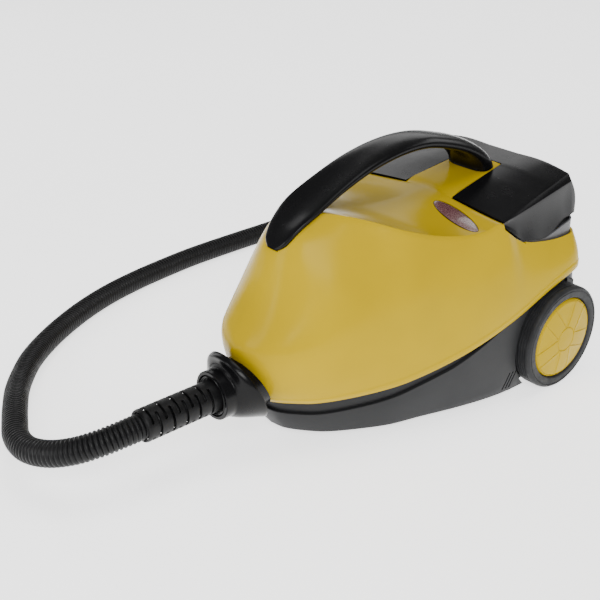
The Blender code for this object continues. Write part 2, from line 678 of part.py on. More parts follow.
# ---- wheels ------------------------------------------------------------------------------
def rear_wheel(side):
    name = "left" if side < 0 else "right"
    half = WHEEL_W / 2
    at = (side * (WHEEL_OUT_X - half), AXLE_Y, WHEEL_R)
    axis = (side, 0, 0)
    r = WHEEL_R
    turned(f"tyre_{name}", [(CAP_R + 0.4, -half + 1), (r - 3, -half), (r - 0.5, -half + 1.6),
                            (r, -half + 4), (r, half - 4), (r - 0.5, half - 1.6), (r - 3, half),
                            (CAP_R + 1.6, half), (CAP_R + 0.4, half - 1)], at, axis, "rubber", 32)
    turned(f"wheel_disc_{name}",
           [(0, 13.6), (14, 13.1), (28, 11.7), (CAP_R - 1.6, 9.8), (CAP_R, 8.6), (CAP_R, -8),
            (CAP_R - 2.6, -8), (CAP_R - 2.6, 6.8), (10, 6.8), (10, -half), (AXLE_R + 0.06, -half),
            (AXLE_R + 0.06, 2), (7.6, 2), (7.6, 6.8), (0, 6.8)], at, axis, "yellow", 32)
    turned(f"axle_clip_{name}", [(AXLE_R + 0.15, 3), (7.0, 3), (7.0, 4.2), (AXLE_R + 0.15, 4.2)],
           at, axis, "steel", 24)


def rear_axle():
    reach = WHEEL_OUT_X - WHEEL_W / 2 + 5.6
    turned("rear_axle", [(0, -reach), (AXLE_R, -reach), (AXLE_R, reach), (0, reach)],
           (0, AXLE_Y, WHEEL_R), (1, 0, 0), "steel", 24)


def caster():
    x, y = CASTER_AT
    wheel_y = y + CASTER_TRAIL
    head = turned("caster_fork", [(0, 26.5), (14.5, 26.5), (14.5, 31), (7, 32.4), (5.02, 32.4),
                                  (5.02, 43), (0, 43)], (x, y, 0), (0, 0, 1), "black", 20)
    for side in (1, -1):
        xs = sorted((x + side * 6.2, x + side * 8.6))
        cheek = prism(f"caster_cheek_{side}",
                      [(y - 7, 27.5), (y - 3, 10), (wheel_y - 3, 6.5), (wheel_y + 3, 6.5),
                       (wheel_y + 5, 11), (y + 10, 27.5)], 0, xs[0], xs[1], "black")
        join(head, cheek)
    drill(head, "caster_pin_hole", (x, wheel_y, CASTER_R), (1, 0, 0), 2.2, 30, 12)
    turned("caster_clip", [(5.2, 37.0), (8.5, 37.0), (8.5, 38.4), (5.2, 38.4)], (x, y, 0),
           (0, 0, 1), "steel", 20)
    turned("caster_pin", [(0, -9.6), (2, -9.6), (2, 9.6), (0, 9.6)], (x, wheel_y, CASTER_R),
           (1, 0, 0), "steel", 12)
    turned("caster_wheel", [(2.06, -5.2), (9.8, -5.2), (CASTER_R, -4), (CASTER_R, 4), (9.8, 5.2),
                            (2.06, 5.2)], (x, wheel_y, CASTER_R), (1, 0, 0), "grey", 24)


# ---- boiler and steam circuit ------------------------------------------------------------
def boiler():
    r, end = BOILER_R, BOILER_HALF
    outline = [(0, end), (38, end), (46.5, end - 3.5), (r, end - 12), (r, 2.4), (r + 5, 2.4),
               (r + 5, 0.2), (r - 1.6, 0.2), (r - 1.6, end - 13), (45.2, end - 5.2),
               (37.5, end - 1.6), (0, end - 1.6)]
    left = turned("boiler_left", outline, BOILER_AT, (-1, 0, 0), "steel", 24)
    right = turned("boiler_right", outline, BOILER_AT, (1, 0, 0), "steel", 24)
    drill(left, "neck_bore", (*CAP_AT, 135), (0, 0, 1), 12.6, 34, 24)
    for y in (50, 70):
        drill(right, f"element_hole_{y}", (end, y, 66), (1, 0, 0), 3.9, 12, 12)
    tube = [(86, 50, 66), (40, 50, 66), (-10, 50, 66), (-52, 50, 66)]
    bend = [(-52 - 10 * math.sin(a), 60 - 10 * math.cos(a), 66)
            for a in [math.pi * k / 6 for k in range(1, 6)]]
    back = [(x, 70, z) for x, _, z in reversed(tube)]
    wire_tube("heating_element", tube + bend + back, 3.4, "steel")
    for side, name in ((-1, "left"), (1, "right")):
        arc = [(BOILER_AT[1] + (r + 0.4) * math.cos(math.radians(a)),
                BOILER_AT[2] + (r + 0.4) * math.sin(math.radians(a))) for a in range(-50, -131, -8)]
        xs = sorted((side * 30.0, side * 31.6))
        prism(f"boiler_bracket_{name}", [(28, 12.9), (92, 12.9)] + arc, 0, xs[0], xs[1], "steel")


def wire_tube(name, points, radius, mat):
    curve = bpy.data.curves.new(name, "CURVE")
    curve.dimensions = "3D"
    line = curve.splines.new("POLY")
    line.points.add(len(points) - 1)
    for slot, p in zip(line.points, points):
        slot.co = (*(c * MM for c in p), 1)
    curve.bevel_depth = radius * MM
    curve.bevel_resolution = 2
    curve.use_fill_caps = True
    curve.materials.append(MATERIALS[mat])
    obj = bpy.data.objects.new(name, curve)
    bpy.context.scene.collection.objects.link(obj)
    return obj


def filler():
    at = (*CAP_AT, 0)
    up = (0, 0, 1)
    turned("filler_neck", [(9.6, 128), (12.2, 128), (12.2, 166), (9.6, 166)], at, up, "brass", 24)
    turned("filler_cap_seal", [(0, 150), (9.0, 150), (9.0, 166.3), (12.0, 166.3), (12.0, 168.2),
                               (0, 168.2)], at, up, "rubber", 24)
    turned("filler_cap", [(0, 181), (15, 181), (19.5, 178.5), (20, 171), (17.5, 160), (12.9, 158.6),
                          (12.9, 168.5), (0, 168.5)], at, up, "black", 24)


def controls():
    by, bz = BOILER_AT[1], BOILER_AT[2]
    front = by - BOILER_R - 0.4
    turned("pressure_switch", [(0, 0), (4, 0), (4, 6), (13, 6), (13, 22), (9, 24), (0, 24)],
           (-34, front, bz), (0, -1, 0), "white", 20)
    turned("safety_valve", [(0, 0), (6, 0), (6, 5), (4, 7), (4, 15), (7, 16), (7, 20), (0, 20)],
           (34, by, bz + BOILER_R + 0.4), (0, 0, 1), "brass", 16)
    turned("thermostat", [(0, 0), (8, 0), (8, 5), (5, 8), (0, 8)],
           (-BOILER_HALF - 0.4, by, bz), (-1, 0, 0), "white", 20)
    turned("thermal_fuse", [(0, -10), (2.4, -10), (2.4, 10), (0, 10)],
           (-BOILER_HALF - 3.2, by, bz + 20), (0, 1, 0), "steel", 12)
    box("solenoid_valve", (-15, -54, 68), (15, -22, 102), "black", 3)
    prism("valve_bracket", [(-54, 12.9), (-37.2, 12.9), (-37.2, 67.6), (-38.8, 67.6), (-38.8, 14.5),
                            (-54, 14.5)], 0, -12, 12, "steel")
    wire_tube("steam_pipe_rear", [(12, front, 97), (12, 0, 97), (11, -10, 95.5), (10, -21.0, 94)],
              3.0, "steel")
    wire_tube("steam_pipe_front", [(0, -55, 80), (0, -72, 77), (0, -92, 69), (0, -108, 66),
                                   (0, -119.6, 66)], 3.0, "steel")
    turned("hose_connector", [(0, 120), (8, 120), (8, 129), (5.5, 130), (5.5, 176), (0, 176)],
           (0, 0, NOZZLE_Z), (0, -1, 0), "brass", 16)
    box("terminal_block", (40, -24, 12.9), (70, -8, 26), "white")
    box("indicator_board", (34, 38, 166), (77, 51.5, 178), "white", 2)


def rear_inlets():
    turned("cable_gland", [(3.6, -9), (6.0, -9), (6.0, 0.3), (9.6, 0.3), (8.4, 3.4), (3.6, 3.4)],
           (-45, 190.9, 45), (0, 1, 0), "rubber", 20)
    body = box("switch_body", (-15, 176, 60.5), (15, 191.2, 83.5), "black")
    join(body, box("switch_bezel", (-17.5, 191.0, 58), (17.5, 192.6, 86), "black"))
    cut(body, box("switch_pocket", (-12.4, 180, 62.2), (12.4, 198, 81.8), "black"))
    prism("power_rocker", [(184.2, 64.2), (190, 64.2), (189.9, 72), (193, 79.8), (184.2, 79.8)], 0,
          -12, 12, "black", (0, 186, 72))


LENS_AT = (55.5, 46.3)
LENS_A, LENS_B = 31.5, 9.8
LENS_TURN = -11.8


def lens_ring(grow, lift):
    points = []
    turn = math.radians(LENS_TURN)
    for k in range(28):
        a = 2 * math.pi * k / 28
        u, v = (LENS_A + grow) * math.cos(a), (LENS_B + grow) * math.sin(a)
        x = LENS_AT[0] + u * math.cos(turn) - v * math.sin(turn)
        y = LENS_AT[1] + u * math.sin(turn) + v * math.cos(turn)
        points.append((x, y, 186.1 - 0.127 * (x - LENS_AT[0]) + lift))
    return points


def indicator(shell):
    loft("indicator_lens", [lens_ring(0, -3.2), lens_ring(0, 0.2), lens_ring(-1.2, 0.8)], "lens")
    cut(shell, loft("lens_hole", [lens_ring(0.4, -8), lens_ring(0.4, 8)], "steel"))


# ---- steam gun ---------------------------------------------------------------------------
TURN = math.radians(GUN_TURN)
GUN_DIR = (-math.sin(TURN), -math.cos(TURN), 0.0)
GUN_SIDE = (math.cos(TURN), -math.sin(TURN), 0.0)


def gun_point(along, across, z):
    """Point `along` the gun from its tail and `across` it; the trigger is on the minus side."""
    return (GUN_TAIL[0] + GUN_DIR[0] * along + GUN_SIDE[0] * across,
            GUN_TAIL[1] + GUN_DIR[1] * along + GUN_SIDE[1] * across, z)


GUN_FORM = [  # along, middle across, half width, half thickness
    (0, 0, 13.5, 13.5), (12, 0, 15, 15), (35, 1, 16, 17), (65, 1, 16.5, 18.1), (90, 1, 17, 18.1),
    (110, 1, 17, 17.5), (130, 0, 14.5, 15.5), (146, 0, 11.5, 12), (152, 0, 10.5, 10.5)]


def gun_half(name, sign, shrink):
    """One shell of the gun, or its hollow when `shrink` is above zero."""
    rings = []
    low, high = (2.2, 149.8) if shrink else (0.0, 152.0)
    for k in range(10):
        along = low + (high - low) * k / 9
        mid, wide, thick = spline(GUN_FORM, along)
        ring = []
        for j in range(9):
            a = math.pi * j / 8
            c, s = math.cos(a), math.sin(a)
            across = mid + (wide - shrink) * math.copysign(abs(c) ** 0.8, c)
            rise = (thick - shrink) * s ** 0.8
            if shrink and j in (0, 8):
                rise = -1.0
            elif j in (0, 8):
                rise = 0.15
            ring.append(gun_point(along, across, GUN_Z + sign * rise))
        rings.append(ring)
    return loft(name, rings, "black", sharp=40)


def steam_gun():
    for name, sign in (("gun_shell_left", 1), ("gun_shell_right", -1)):
        shell = gun_half(name, sign, 0.0)
        cut(shell, gun_half(f"{name}_hollow", sign, 2.2))
        slot = [gun_point(a, c, 0)[:2] for a, c in ((76, -26), (76, -7), (137, -7), (137, -26))]
        cut(shell, prism(f"{name}_slot", slot, 2, GUN_Z - 5.7, GUN_Z + 5.7, "steel"))
        drill(shell, f"{name}_pin", gun_point(131, -10.5, GUN_Z), (0, 0, 1), 2.25, 34, 12)
        drill(shell, f"{name}_mouth", gun_point(150, 0, GUN_Z), GUN_DIR, 4.6, 14, 16)
        drill(shell, f"{name}_tail", gun_point(0, 0, GUN_Z), GUN_DIR, 4.6, 14, 16)
    centre = gun_point(0, 0, GUN_Z)
    turned("gun_tube", [(2.2, -2), (4.2, -2), (4.2, 153.5), (2.2, 153.5)], centre, GUN_DIR,
           "brass", 16)
    turned("gun_nozzle", [(4.6, 152.5), (10, 152.5), (10.4, 160), (8, 163), (7, 174), (3, 176),
                          (3, 154.5), (4.6, 154.5)], centre, GUN_DIR, "grey", 16)
    turned("gun_hose_sleeve", [(4.6, -0.4), (13.6, -0.4), (14, -3), (13, -10), (12.3, -12.2),
                               (4.6, -12.2)], centre, GUN_DIR, "rubber", 20)
    pivot = gun_point(131, -10.5, GUN_Z)
    shape = [(135, -13.5), (133.5, -8), (128, -8), (122, -15), (112, -20.5), (98, -22.5),
             (84, -22), (80, -24), (82, -27.5), (98, -28.5), (114, -27.5), (127, -22)]
    lever = prism("gun_trigger", [gun_point(a, c, 0)[:2] for a, c in shape], 2, GUN_Z - 5,
                  GUN_Z + 5, "grey", pivot)
    drill(lever, "trigger_bore", pivot, (0, 0, 1), 2.06, 20, 12)
    turned("gun_trigger_pin", [(0, -9), (2, -9), (2, 9), (0, 9)], pivot, (0, 0, 1), "steel", 12)
    catch = [(58, 18.2), (70, 18.2), (69, 21), (59, 21)]
    prism("gun_lock", [gun_point(a, c, 0)[:2] for a, c in catch], 2, GUN_Z - 4, GUN_Z + 4, "grey",
          gun_point(64, 19, GUN_Z))


def screws():
    for i, (x, y) in enumerate(BASE_SCREWS):
        turned(f"base_screw_{i + 1}", [(0, 11.6), (3.8, 11.6), (3.8, 13.6), (2.0, 13.6), (2.0, 28),
                                       (0, 28)], (x, y, 0), (0, 0, 1), "steel", 12)
    turned("handle_screw", [(0, 180.4), (3.6, 180.4), (3.6, 182.7), (2.0, 182.7), (2.0, 212),
                            (0, 212)], (0, 126, 0), (0, 0, 1), "steel", 12)


def main():
    shell = upper_shell()
    handle_pocket(shell)
    lid_seat(shell)
    drill(shell, "outlet_hole_shell", (0, -150, NOZZLE_Z), (0, 1, 0), 19.5, 80, 32)
    drill(shell, "prong_screw_hole", (0, 126, 199), (0, 0, 1), 2.3, 20, 12)
    indicator(shell)
    base_shell()
    rear_lid()
    hinge_pins()
    filler_well()
    handle()
    outlet_flange()
    hose_fittings()
    hose()
    for side in (-1, 1):
        rear_wheel(side)
    rear_axle()
    caster()
    boiler()
    filler()
    controls()
    rear_inlets()
    steam_gun()
    screws()


main()
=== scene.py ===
"""Visual model of a canister steam cleaner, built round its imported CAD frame.

Lengths in this file are millimetres until `finish` turns them into metres.  X = 0 is the
machine's plane of symmetry, -Y its nose, +Z up and Z = 0 the floor.
"""
from math import copysign, cos, pi, radians, sin, tau

import bmesh
import bpy
import numpy as np
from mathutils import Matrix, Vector


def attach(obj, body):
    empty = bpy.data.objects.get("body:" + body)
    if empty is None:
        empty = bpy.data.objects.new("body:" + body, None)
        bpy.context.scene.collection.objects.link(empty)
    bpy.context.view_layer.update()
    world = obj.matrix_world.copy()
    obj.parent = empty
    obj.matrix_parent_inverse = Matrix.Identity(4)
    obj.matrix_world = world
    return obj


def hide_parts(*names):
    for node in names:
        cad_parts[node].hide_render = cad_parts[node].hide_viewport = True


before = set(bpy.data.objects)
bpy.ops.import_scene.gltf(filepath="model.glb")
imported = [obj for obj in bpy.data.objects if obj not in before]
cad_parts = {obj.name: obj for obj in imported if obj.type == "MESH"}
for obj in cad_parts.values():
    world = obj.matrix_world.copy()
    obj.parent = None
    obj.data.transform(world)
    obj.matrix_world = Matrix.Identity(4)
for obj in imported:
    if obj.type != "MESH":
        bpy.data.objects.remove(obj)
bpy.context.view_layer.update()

MM = 0.001
MERGE = 0.004  # points closer than this, in millimetres, become one
X_AXIS, Y_AXIS, UP = (1, 0, 0), (0, 1, 0), (0, 0, 1)
AHEAD = (0, -1, 0)

# ---- dimensions repeated from the CAD source, in millimetres
GAP = 0.4
WALL = 2.4
HALF_LENGTH = 194.5
WHEEL_R = 53.0
WHEEL_OUT_X = 122.4
WHEEL_W = 20.4
CAP_R = 41.2
AXLE_Y = HALF_LENGTH - WHEEL_R
BASE_Z = 12.0
UNDERSIDE_Z = 10.0
HOSE_D = 23.3
NOZZLE_Z = 66.0
OUTLET_AT = (0, 0, NOZZLE_Z)
OUTLET_R = 19.5
SLEEVE_R = 14.6
SLEEVE_LEN = 73.0
DECK_EDGE_Y = 69.0
PRONG_HALF = 29.7
PRONG_END_Y = 146.0
PRONG_RISE = 0.158
DECK_Z = 192.5
CAP_AT = (-58.0, 92.0)
CASTER_AT = (0.0, -84.0)
CASTER_R = 11.0
CASTER_TRAIL = 8.0
HINGE_X = 62.0
HINGE_Y = 187.0
HINGE_Z = 158.5
POCKET_R = WHEEL_R + 4.5
POCKET_X = WHEEL_OUT_X - WHEEL_W - 3.0
WELL_Z = 152.6
COIL_AT = (-237.5, 300.0)
COIL_R = 118.0
GUN_Z = 18.4
GUN_TURN = radians(9.8)
GUN_TAIL = (-143.9, 151.0)
GUN_LENGTH = 152.0
GUN_MOUTH = -12.6  # end of the gun's hose sleeve, along the gun from its tail
TRIGGER_PIN = (131, -10.5)
HANDLE_SCREW_Y = 126.0
BASE_SCREWS = [(-56, -50), (56, -50), (-60, 172), (60, 172)]

# ---- look of the materials, linear colour
YELLOW = (0.43, 0.292, 0.0)
YELLOW_DEEP = (0.395, 0.266, 0.0)
BLACK = (0.0045, 0.0045, 0.005)
GREY = (0.020, 0.0205, 0.0215)
LIGHT_GREY = (0.085, 0.085, 0.09)
RUBBER = (0.0035, 0.0035, 0.0038)
TYRE = (0.014, 0.0145, 0.0155)
STEEL = (0.55, 0.56, 0.58)
BRASS = (0.60, 0.43, 0.16)
WHITE = (0.72, 0.71, 0.67)


# ---- materials
class Nodes:
    """A material's node tree, with short calls for the nodes used here."""

    def __init__(self, name):
        self.material = bpy.data.materials.new(name)
        self.material.use_nodes = True
        self.tree = self.material.node_tree
        self.shader = self.tree.nodes["Principled BSDF"]
        self.at = self.add("TexCoord").outputs["Object"]

    def put(self, socket, value):
        """Link an output, or a value as it is, to a node's input."""
        if hasattr(value, "is_output"):
            self.tree.links.new(value, socket)
        else:
            socket.default_value = value

    def set(self, node, inputs):
        for name, value in inputs.items():
            self.put(node.inputs[name.replace("_", " ")], value)

    def add(self, kind, **inputs):
        node = self.tree.nodes.new("ShaderNode" + kind)
        self.set(node, inputs)
        return node

    def stretched(self, scale):
        """Object coordinates scaled by axis, for grain that runs one way."""
        return self.add("Mapping", Scale=scale, Vector=self.at).outputs["Vector"]

    def noise(self, size, detail=3.0, rough=0.5, at=None):
        """Noise with features about `size` millimetres across."""
        return self.add("TexNoise", Scale=1.0 / (size * MM), Detail=detail, Roughness=rough,
                        Vector=at or self.at).outputs["Fac"]

    def cells(self, size):
        return self.add("TexVoronoi", Scale=1.0 / (size * MM),
                        Vector=self.at).outputs["Distance"]

    def span(self, fac, low, high, out_low=0, out_high=1):
        return self.add("MapRange", From_Min=low, From_Max=high, To_Min=out_low,
                        To_Max=out_high, Value=fac).outputs["Result"]

    def blend(self, fac, a, b):
        """Mix of two colours, each a tuple or a socket."""
        node = self.add("Mix")
        node.data_type = "RGBA"
        self.put(node.inputs[0], fac)
        for socket, colour in ((node.inputs[6], a), (node.inputs[7], b)):
            self.put(socket, (*colour, 1.0) if isinstance(colour, tuple) else colour)
        return node.outputs[2]

    def bump(self, height, distance, strength=1.0, under=None):
        node = self.add("Bump", Distance=distance * MM, Strength=strength, Height=height)
        if under:
            self.put(node.inputs["Normal"], under)
        return node.outputs["Normal"]

    def dress(self, **sockets):
        """Set or link the shader's sockets by name."""
        self.set(self.shader, sockets)
        return self.material


def plastic(name, colour, shade, rough, spread, grain, depth, gloss=0.5, wave=0.0):
    """Moulded plastic: slight colour drift, uneven polish, mould grain and faint waviness."""
    n = Nodes(name)
    drift = n.blend(n.span(n.noise(70, 2), 0.35, 0.65), colour, shade)
    specks = n.span(n.noise(0.9, 2, 0.7), 0.45, 0.75, 0, 0.25)
    base = n.blend(specks, drift, shade)
    polish = n.span(n.noise(24, 4, 0.65), 0.3, 0.7, rough - spread, rough + spread)
    normal = n.bump(n.noise(grain, 2, 0.6), depth, 0.6)
    if wave:
        normal = n.bump(n.noise(28, 1), wave, 1.0, normal)
    return n.dress(Base_Color=base, Roughness=polish, Normal=normal, Specular_IOR_Level=gloss)


def rubber(name, colour, rough, grain):
    """Soft rubber: dusty matt patches over a fine pebbled skin."""
    n = Nodes(name)
    dust = n.span(n.noise(13, 5, 0.7), 0.42, 0.75, 0, 0.55)
    base = n.blend(dust, colour, tuple(c * 1.8 + 0.001 for c in colour))
    scuff = n.span(n.noise(5, 3, 0.6), 0.3, 0.7, rough - 0.1, rough + 0.1)
    normal = n.bump(n.noise(grain, 3, 0.6), 0.12, 0.7)
    return n.dress(Base_Color=base, Roughness=scuff, Normal=normal, Specular_IOR_Level=0.18)


def metal(name, colour, rough, along):
    """Drawn or turned metal: fine lines along one axis and faint tarnish."""
    n = Nodes(name)
    lines = n.noise(0.8, 3, 0.6, n.stretched(along))
    tarnish = n.span(n.noise(18, 4, 0.6), 0.35, 0.7, 0, 0.45)
    base = n.blend(tarnish, colour, tuple(c * 0.62 for c in colour))
    polish = n.span(lines, 0.3, 0.7, rough - 0.08, rough + 0.12)
    return n.dress(Base_Color=base, Metallic=1.0, Roughness=polish,
                   Normal=n.bump(lines, 0.03, 0.5))


def lens_red():
    """Tinted window: fine sparkle under a clear face, lighter towards its outer end."""
    n = Nodes("red_lens")
    sparkle = n.span(n.noise(1.1, 3, 0.8), 0.4, 0.68)
    deep = n.blend(sparkle, (0.075, 0.018, 0.026), (0.20, 0.105, 0.105))
    pale = n.blend(sparkle, (0.13, 0.07, 0.065), (0.30, 0.22, 0.20))
    split = n.add("SeparateXYZ", Vector=n.at)
    base = n.blend(n.span(split.outputs["X"], 0.045, 0.085), deep, pale)
    normal = n.bump(n.cells(1.6), 0.12, 0.4)
    return n.dress(Base_Color=base, Roughness=n.span(sparkle, 0, 1, 0.22, 0.4),
                   Normal=normal, Coat_Weight=0.6, Coat_Roughness=0.04)


MATERIALS = {
    "yellow_plastic": plastic("yellow_gloss", YELLOW, YELLOW_DEEP, 0.22, 0.035, 0.5, 0.006,
                              0.06, 0.05),
    "black_plastic": plastic("black_gloss", BLACK, (0.003, 0.003, 0.0033), 0.24, 0.05, 0.6, 0.01,
                             0.14, 0.04),
    "grey_plastic": plastic("grey_textured", GREY, (0.016, 0.0165, 0.0175), 0.42, 0.06, 0.45, 0.05,
                            0.16),
    "light_grey_plastic": plastic("light_grey_satin", LIGHT_GREY, (0.07, 0.07, 0.074), 0.4,
                                  0.05, 0.5, 0.03, 0.3),
    "white_plastic": plastic("white_satin", WHITE, (0.62, 0.60, 0.55), 0.45, 0.06, 0.5, 0.03),
    "hose_rubber": rubber("hose_rubber", RUBBER, 0.42, 0.5),
    "tyre_rubber": rubber("tyre_rubber", TYRE, 0.52, 0.7),
    "steel": metal("drawn_steel", STEEL, 0.32, (1.0, 0.06, 0.06)),
    "brass": metal("turned_brass", BRASS, 0.28, (1.0, 1.0, 0.1)),
    "red_lens": lens_red(),
}


# ---- mesh helpers
SLOT_OF = {}  # material of each object, by the object's name
REPLACED = set()  # CAD nodes that a visual piece stands for


def add_object(name, data):
    obj = bpy.data.objects.new(name, data)
    bpy.context.scene.collection.objects.link(obj)
    return obj


def dress(obj, sharp):
    """Smooth the mesh up to its sharp edges and give it its material."""
    obj.data.materials.clear()
    obj.data.materials.append(MATERIALS[SLOT_OF[obj.name]])
    for face in obj.data.polygons:
        face.material_index = 0
    obj.data.shade_smooth()
    obj.data.set_sharp_from_angle(angle=radians(sharp))


def finish(name, bm, slot, sharp):
    """An object from a bmesh in world millimetres."""
    bmesh.ops.remove_doubles(bm, verts=bm.verts, dist=MERGE)
    bmesh.ops.recalc_face_normals(bm, faces=bm.faces)
    bmesh.ops.scale(bm, vec=(MM, MM, MM), verts=bm.verts)
    mesh = bpy.data.meshes.new(name)
    bm.to_mesh(mesh)
    bm.free()
    obj = add_object(name, mesh)
    SLOT_OF[obj.name] = slot
    dress(obj, sharp)
    return obj


def mirrored(points):
    """The same points on the machine's other side."""
    return [(-p[0], *p[1:]) for p in points]


def circle(sides):
    """Pairs (cos, sin) at equal steps round one turn."""
    return [(cos(a), sin(a)) for a in (tau * k / sides for k in range(sides))]


def build(name, grids, slot="black_plastic", sharp=35, both=False, close=False, capped=False,
          faces=()):
    """An object from grids of points, with quads between their rows.

    `both` adds each grid's mirror image, `close` joins each row's end to its start, `capped`
    fills the first and the last row, and `faces` are single faces, each a loop of points.
    """
    bm = bmesh.new()
    if both:
        grids = [g for grid in grids for g in (grid, [mirrored(row) for row in grid])]
    for grid in grids:
        rows = [[bm.verts.new(p) for p in row] for row in grid]
        for a, b in zip(rows, rows[1:]):
            for i in range(len(a) if close else len(a) - 1):
                j = (i + 1) % len(a)
                bm.faces.new((a[i], a[j], b[j], b[i]))
        if capped:
            bm.faces.new(rows[0])
            bm.faces.new(rows[-1][::-1])
    for loop in faces:
        bm.faces.new([bm.verts.new(p) for p in loop])
    return finish(name, bm, slot, sharp)


def loft(name, rings, slot="black_plastic", sharp=35):
    """A closed solid through rings of equal point counts."""
    return build(name, [rings], slot, sharp, close=True, capped=True)


def frame_of(axis):
    """Unit vectors: two across the axis, then the axis itself."""
    n = Vector(axis).normalized()
    u = Vector(UP if abs(n.z) < 0.9 else X_AXIS).cross(n).normalized()
    return u, n.cross(u), n


def turned(name, profile, centre, axis, slot="black_plastic", segments=64, sharp=35):
    """Revolve a closed outline of (radius, height) points about `axis` through `centre`."""
    u, v, n = frame_of(axis)
    at = Vector(centre)
    bm = bmesh.new()
    columns = []
    for c, s in circle(segments):
        out = u * c + v * s
        columns.append([bm.verts.new(at + out * r + n * h) for r, h in profile])
    for k, a in enumerate(columns):
        b = columns[(k + 1) % segments]
        for i, (r, _) in enumerate(profile):
            j = (i + 1) % len(profile)
            if r or profile[j][0]:
                bm.faces.new((a[i], a[j], b[j], b[i]))
    return finish(name, bm, slot, sharp)


def prism(name, outline, axis, low, high, slot="black_plastic"):
    """Extrude an outline of two coordinates along axis 0, 1 or 2, between two places on it."""
    rings = [[[*p[:axis], h, *p[axis:]] for p in outline] for h in sorted((low, high))]
    return loft(name, rings, slot)


def rounded_rect(half_a, half_b, radius, centre=(0, 0), steps=5):
    points = []
    for qa, qb, start in ((1, 1, 0), (-1, 1, 90), (-1, -1, 180), (1, -1, 270)):
        for k in range(steps + 1):
            a = radians(start + 90 * k / steps)
            points.append((centre[0] + qa * (half_a - radius) + radius * cos(a),
                           centre[1] + qb * (half_b - radius) + radius * sin(a)))
    return points


def box(name, low, high, slot="black_plastic", radius=0.0):
    outline = [(low[0], low[1]), (high[0], low[1]), (high[0], high[1]), (low[0], high[1])]
    if radius:
        outline = rounded_rect((high[0] - low[0]) / 2, (high[1] - low[1]) / 2, radius,
                               ((low[0] + high[0]) / 2, (low[1] + high[1]) / 2))
    return prism(name, outline, 2, low[2], high[2], slot)


def settle(obj, sharp=35):
    """Apply the object's modifiers to its mesh."""
    graph = bpy.context.evaluated_depsgraph_get()
    mesh = bpy.data.meshes.new_from_object(obj.evaluated_get(graph), depsgraph=graph)
    obj.modifiers.clear()
    obj.data = mesh
    mesh.name = obj.name
    dress(obj, sharp)


def combine(obj, tools, operation, sharp, folded):
    for tool in tools:
        mod = obj.modifiers.new("shape", "BOOLEAN")
        mod.operation = operation
        mod.object = tool
        mod.use_self = folded and tool is tools[0]
    settle(obj, sharp)
    for tool in tools:
        bpy.data.objects.remove(tool, do_unlink=True)


def cut(obj, tools, sharp=35, folded=False):
    """Cut `tools` out of the object; `folded` if its inner face crosses itself."""
    combine(obj, tools, "DIFFERENCE", sharp, folded)


def join(obj, tools, sharp=35):
    combine(obj, tools, "UNION", sharp, False)


def rod(centre, radius, length, axis=UP, segments=32):
    """Round bar centred on `centre`, to cut or join with."""
    half = length / 2
    return turned("rod", [(0, -half), (radius, -half), (radius, half), (0, half)], centre, axis,
                  segments=segments)


def soften(obj, width, angle=32, segments=2):
    """Round the sharp edges a little, as moulding does."""
    mod = obj.modifiers.new("round", "BEVEL")
    mod.width = width * MM
    mod.segments = segments
    mod.limit_method = "ANGLE"
    mod.angle_limit = radians(angle)
    mod.use_clamp_overlap = True
    mod.harden_normals = False
    settle(obj, 40)
    return obj


def thicken(obj, thickness, sharp=35):
    mod = obj.modifiers.new("wall", "SOLIDIFY")
    mod.thickness = thickness * MM
    mod.offset = -1.0
    settle(obj, sharp)


def place(obj, *nodes, body="machine"):
    """Let the piece ride on its body and stand for its CAD nodes."""
    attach(obj, body)
    if nodes:
        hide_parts(*nodes)
        REPLACED.update(nodes)
    return obj


def spline(knots, t):
    """Smooth value(s) at t through (t, value...) knots, by Catmull-Rom tangents."""
    ts = [k[0] for k in knots]
    values = np.array([k[1:] for k in knots], float)
    i = int(np.clip(np.searchsorted(ts, t) - 1, 0, len(ts) - 2))
    h = ts[i + 1] - ts[i]
    s = (t - ts[i]) / h

    def tangent(k):
        a, b = max(k - 1, 0), min(k + 1, len(ts) - 1)
        return (values[b] - values[a]) / (ts[b] - ts[a])
    m0, m1 = tangent(i) * h, tangent(i + 1) * h
    s2, s3 = s * s, s * s * s
    return ((2 * s3 - 3 * s2 + 1) * values[i] + (s3 - 2 * s2 + s) * m0
            + (3 * s2 - 2 * s3) * values[i + 1] + (s3 - s2) * m1)


def smoothstep(low, high, x):
    t = min(1.0, max(0.0, (x - low) / (high - low)))
    return t * t * (3 - 2 * t)


# ---- camera
def camera():
    data = bpy.data.cameras.new("camera")
    data.lens = 63.2
    data.sensor_width = 36
    data.clip_start = 0.05
    obj = add_object("camera", data)
    obj.location = (0.6365, -0.6446, 0.549)
    obj.rotation_euler = (radians(63.30), 0, radians(49.09))
    bpy.context.scene.camera = obj


# ---- steam hose and gun
HOSE_ROUTE = [
    (0, -267.9, 66), (-1.5, -283.8, 64.8), (-7.6, -302.3, 60.9), (-19.7, -319.6, 55),
    (-38.6, -332.7, 48.6), (-63.1, -339, 43.2), (-90.5, -335.4, 39.7), (-117.7, -323.2, 37.6),
    (-147.7, -307.6, 33.7), (-178.7, -290.6, 27.1), (-208.1, -270.6, 21.6),
    (-237.1, -246.4, 17.9), (-264.1, -217.1, 14.5), (-288.3, -182.8, 12.5), (-308.9, -144, 12),
    (-324.7, -103, 11.9), (-336, -58.4, 11.8), (-343.5, -11, 11.8), (-348.4, 34.7, 11.8),
    (-350, 100, 11.8), (-350, 150, 11.8), (-350.8, 200, 11.8)]
HOSE_LOW = 11.8  # middle of a hose that lies on the floor
HOSE_HIGH = HOSE_LOW + HOSE_D + 0.2
TURNS_STEPS = 88  # points round the coil
TIE_ANGLE = 62.0  # of the strap round the coil, from +X
COIL_SWEEP = 550.0  # degrees, from the left side clockwise to the gun's side
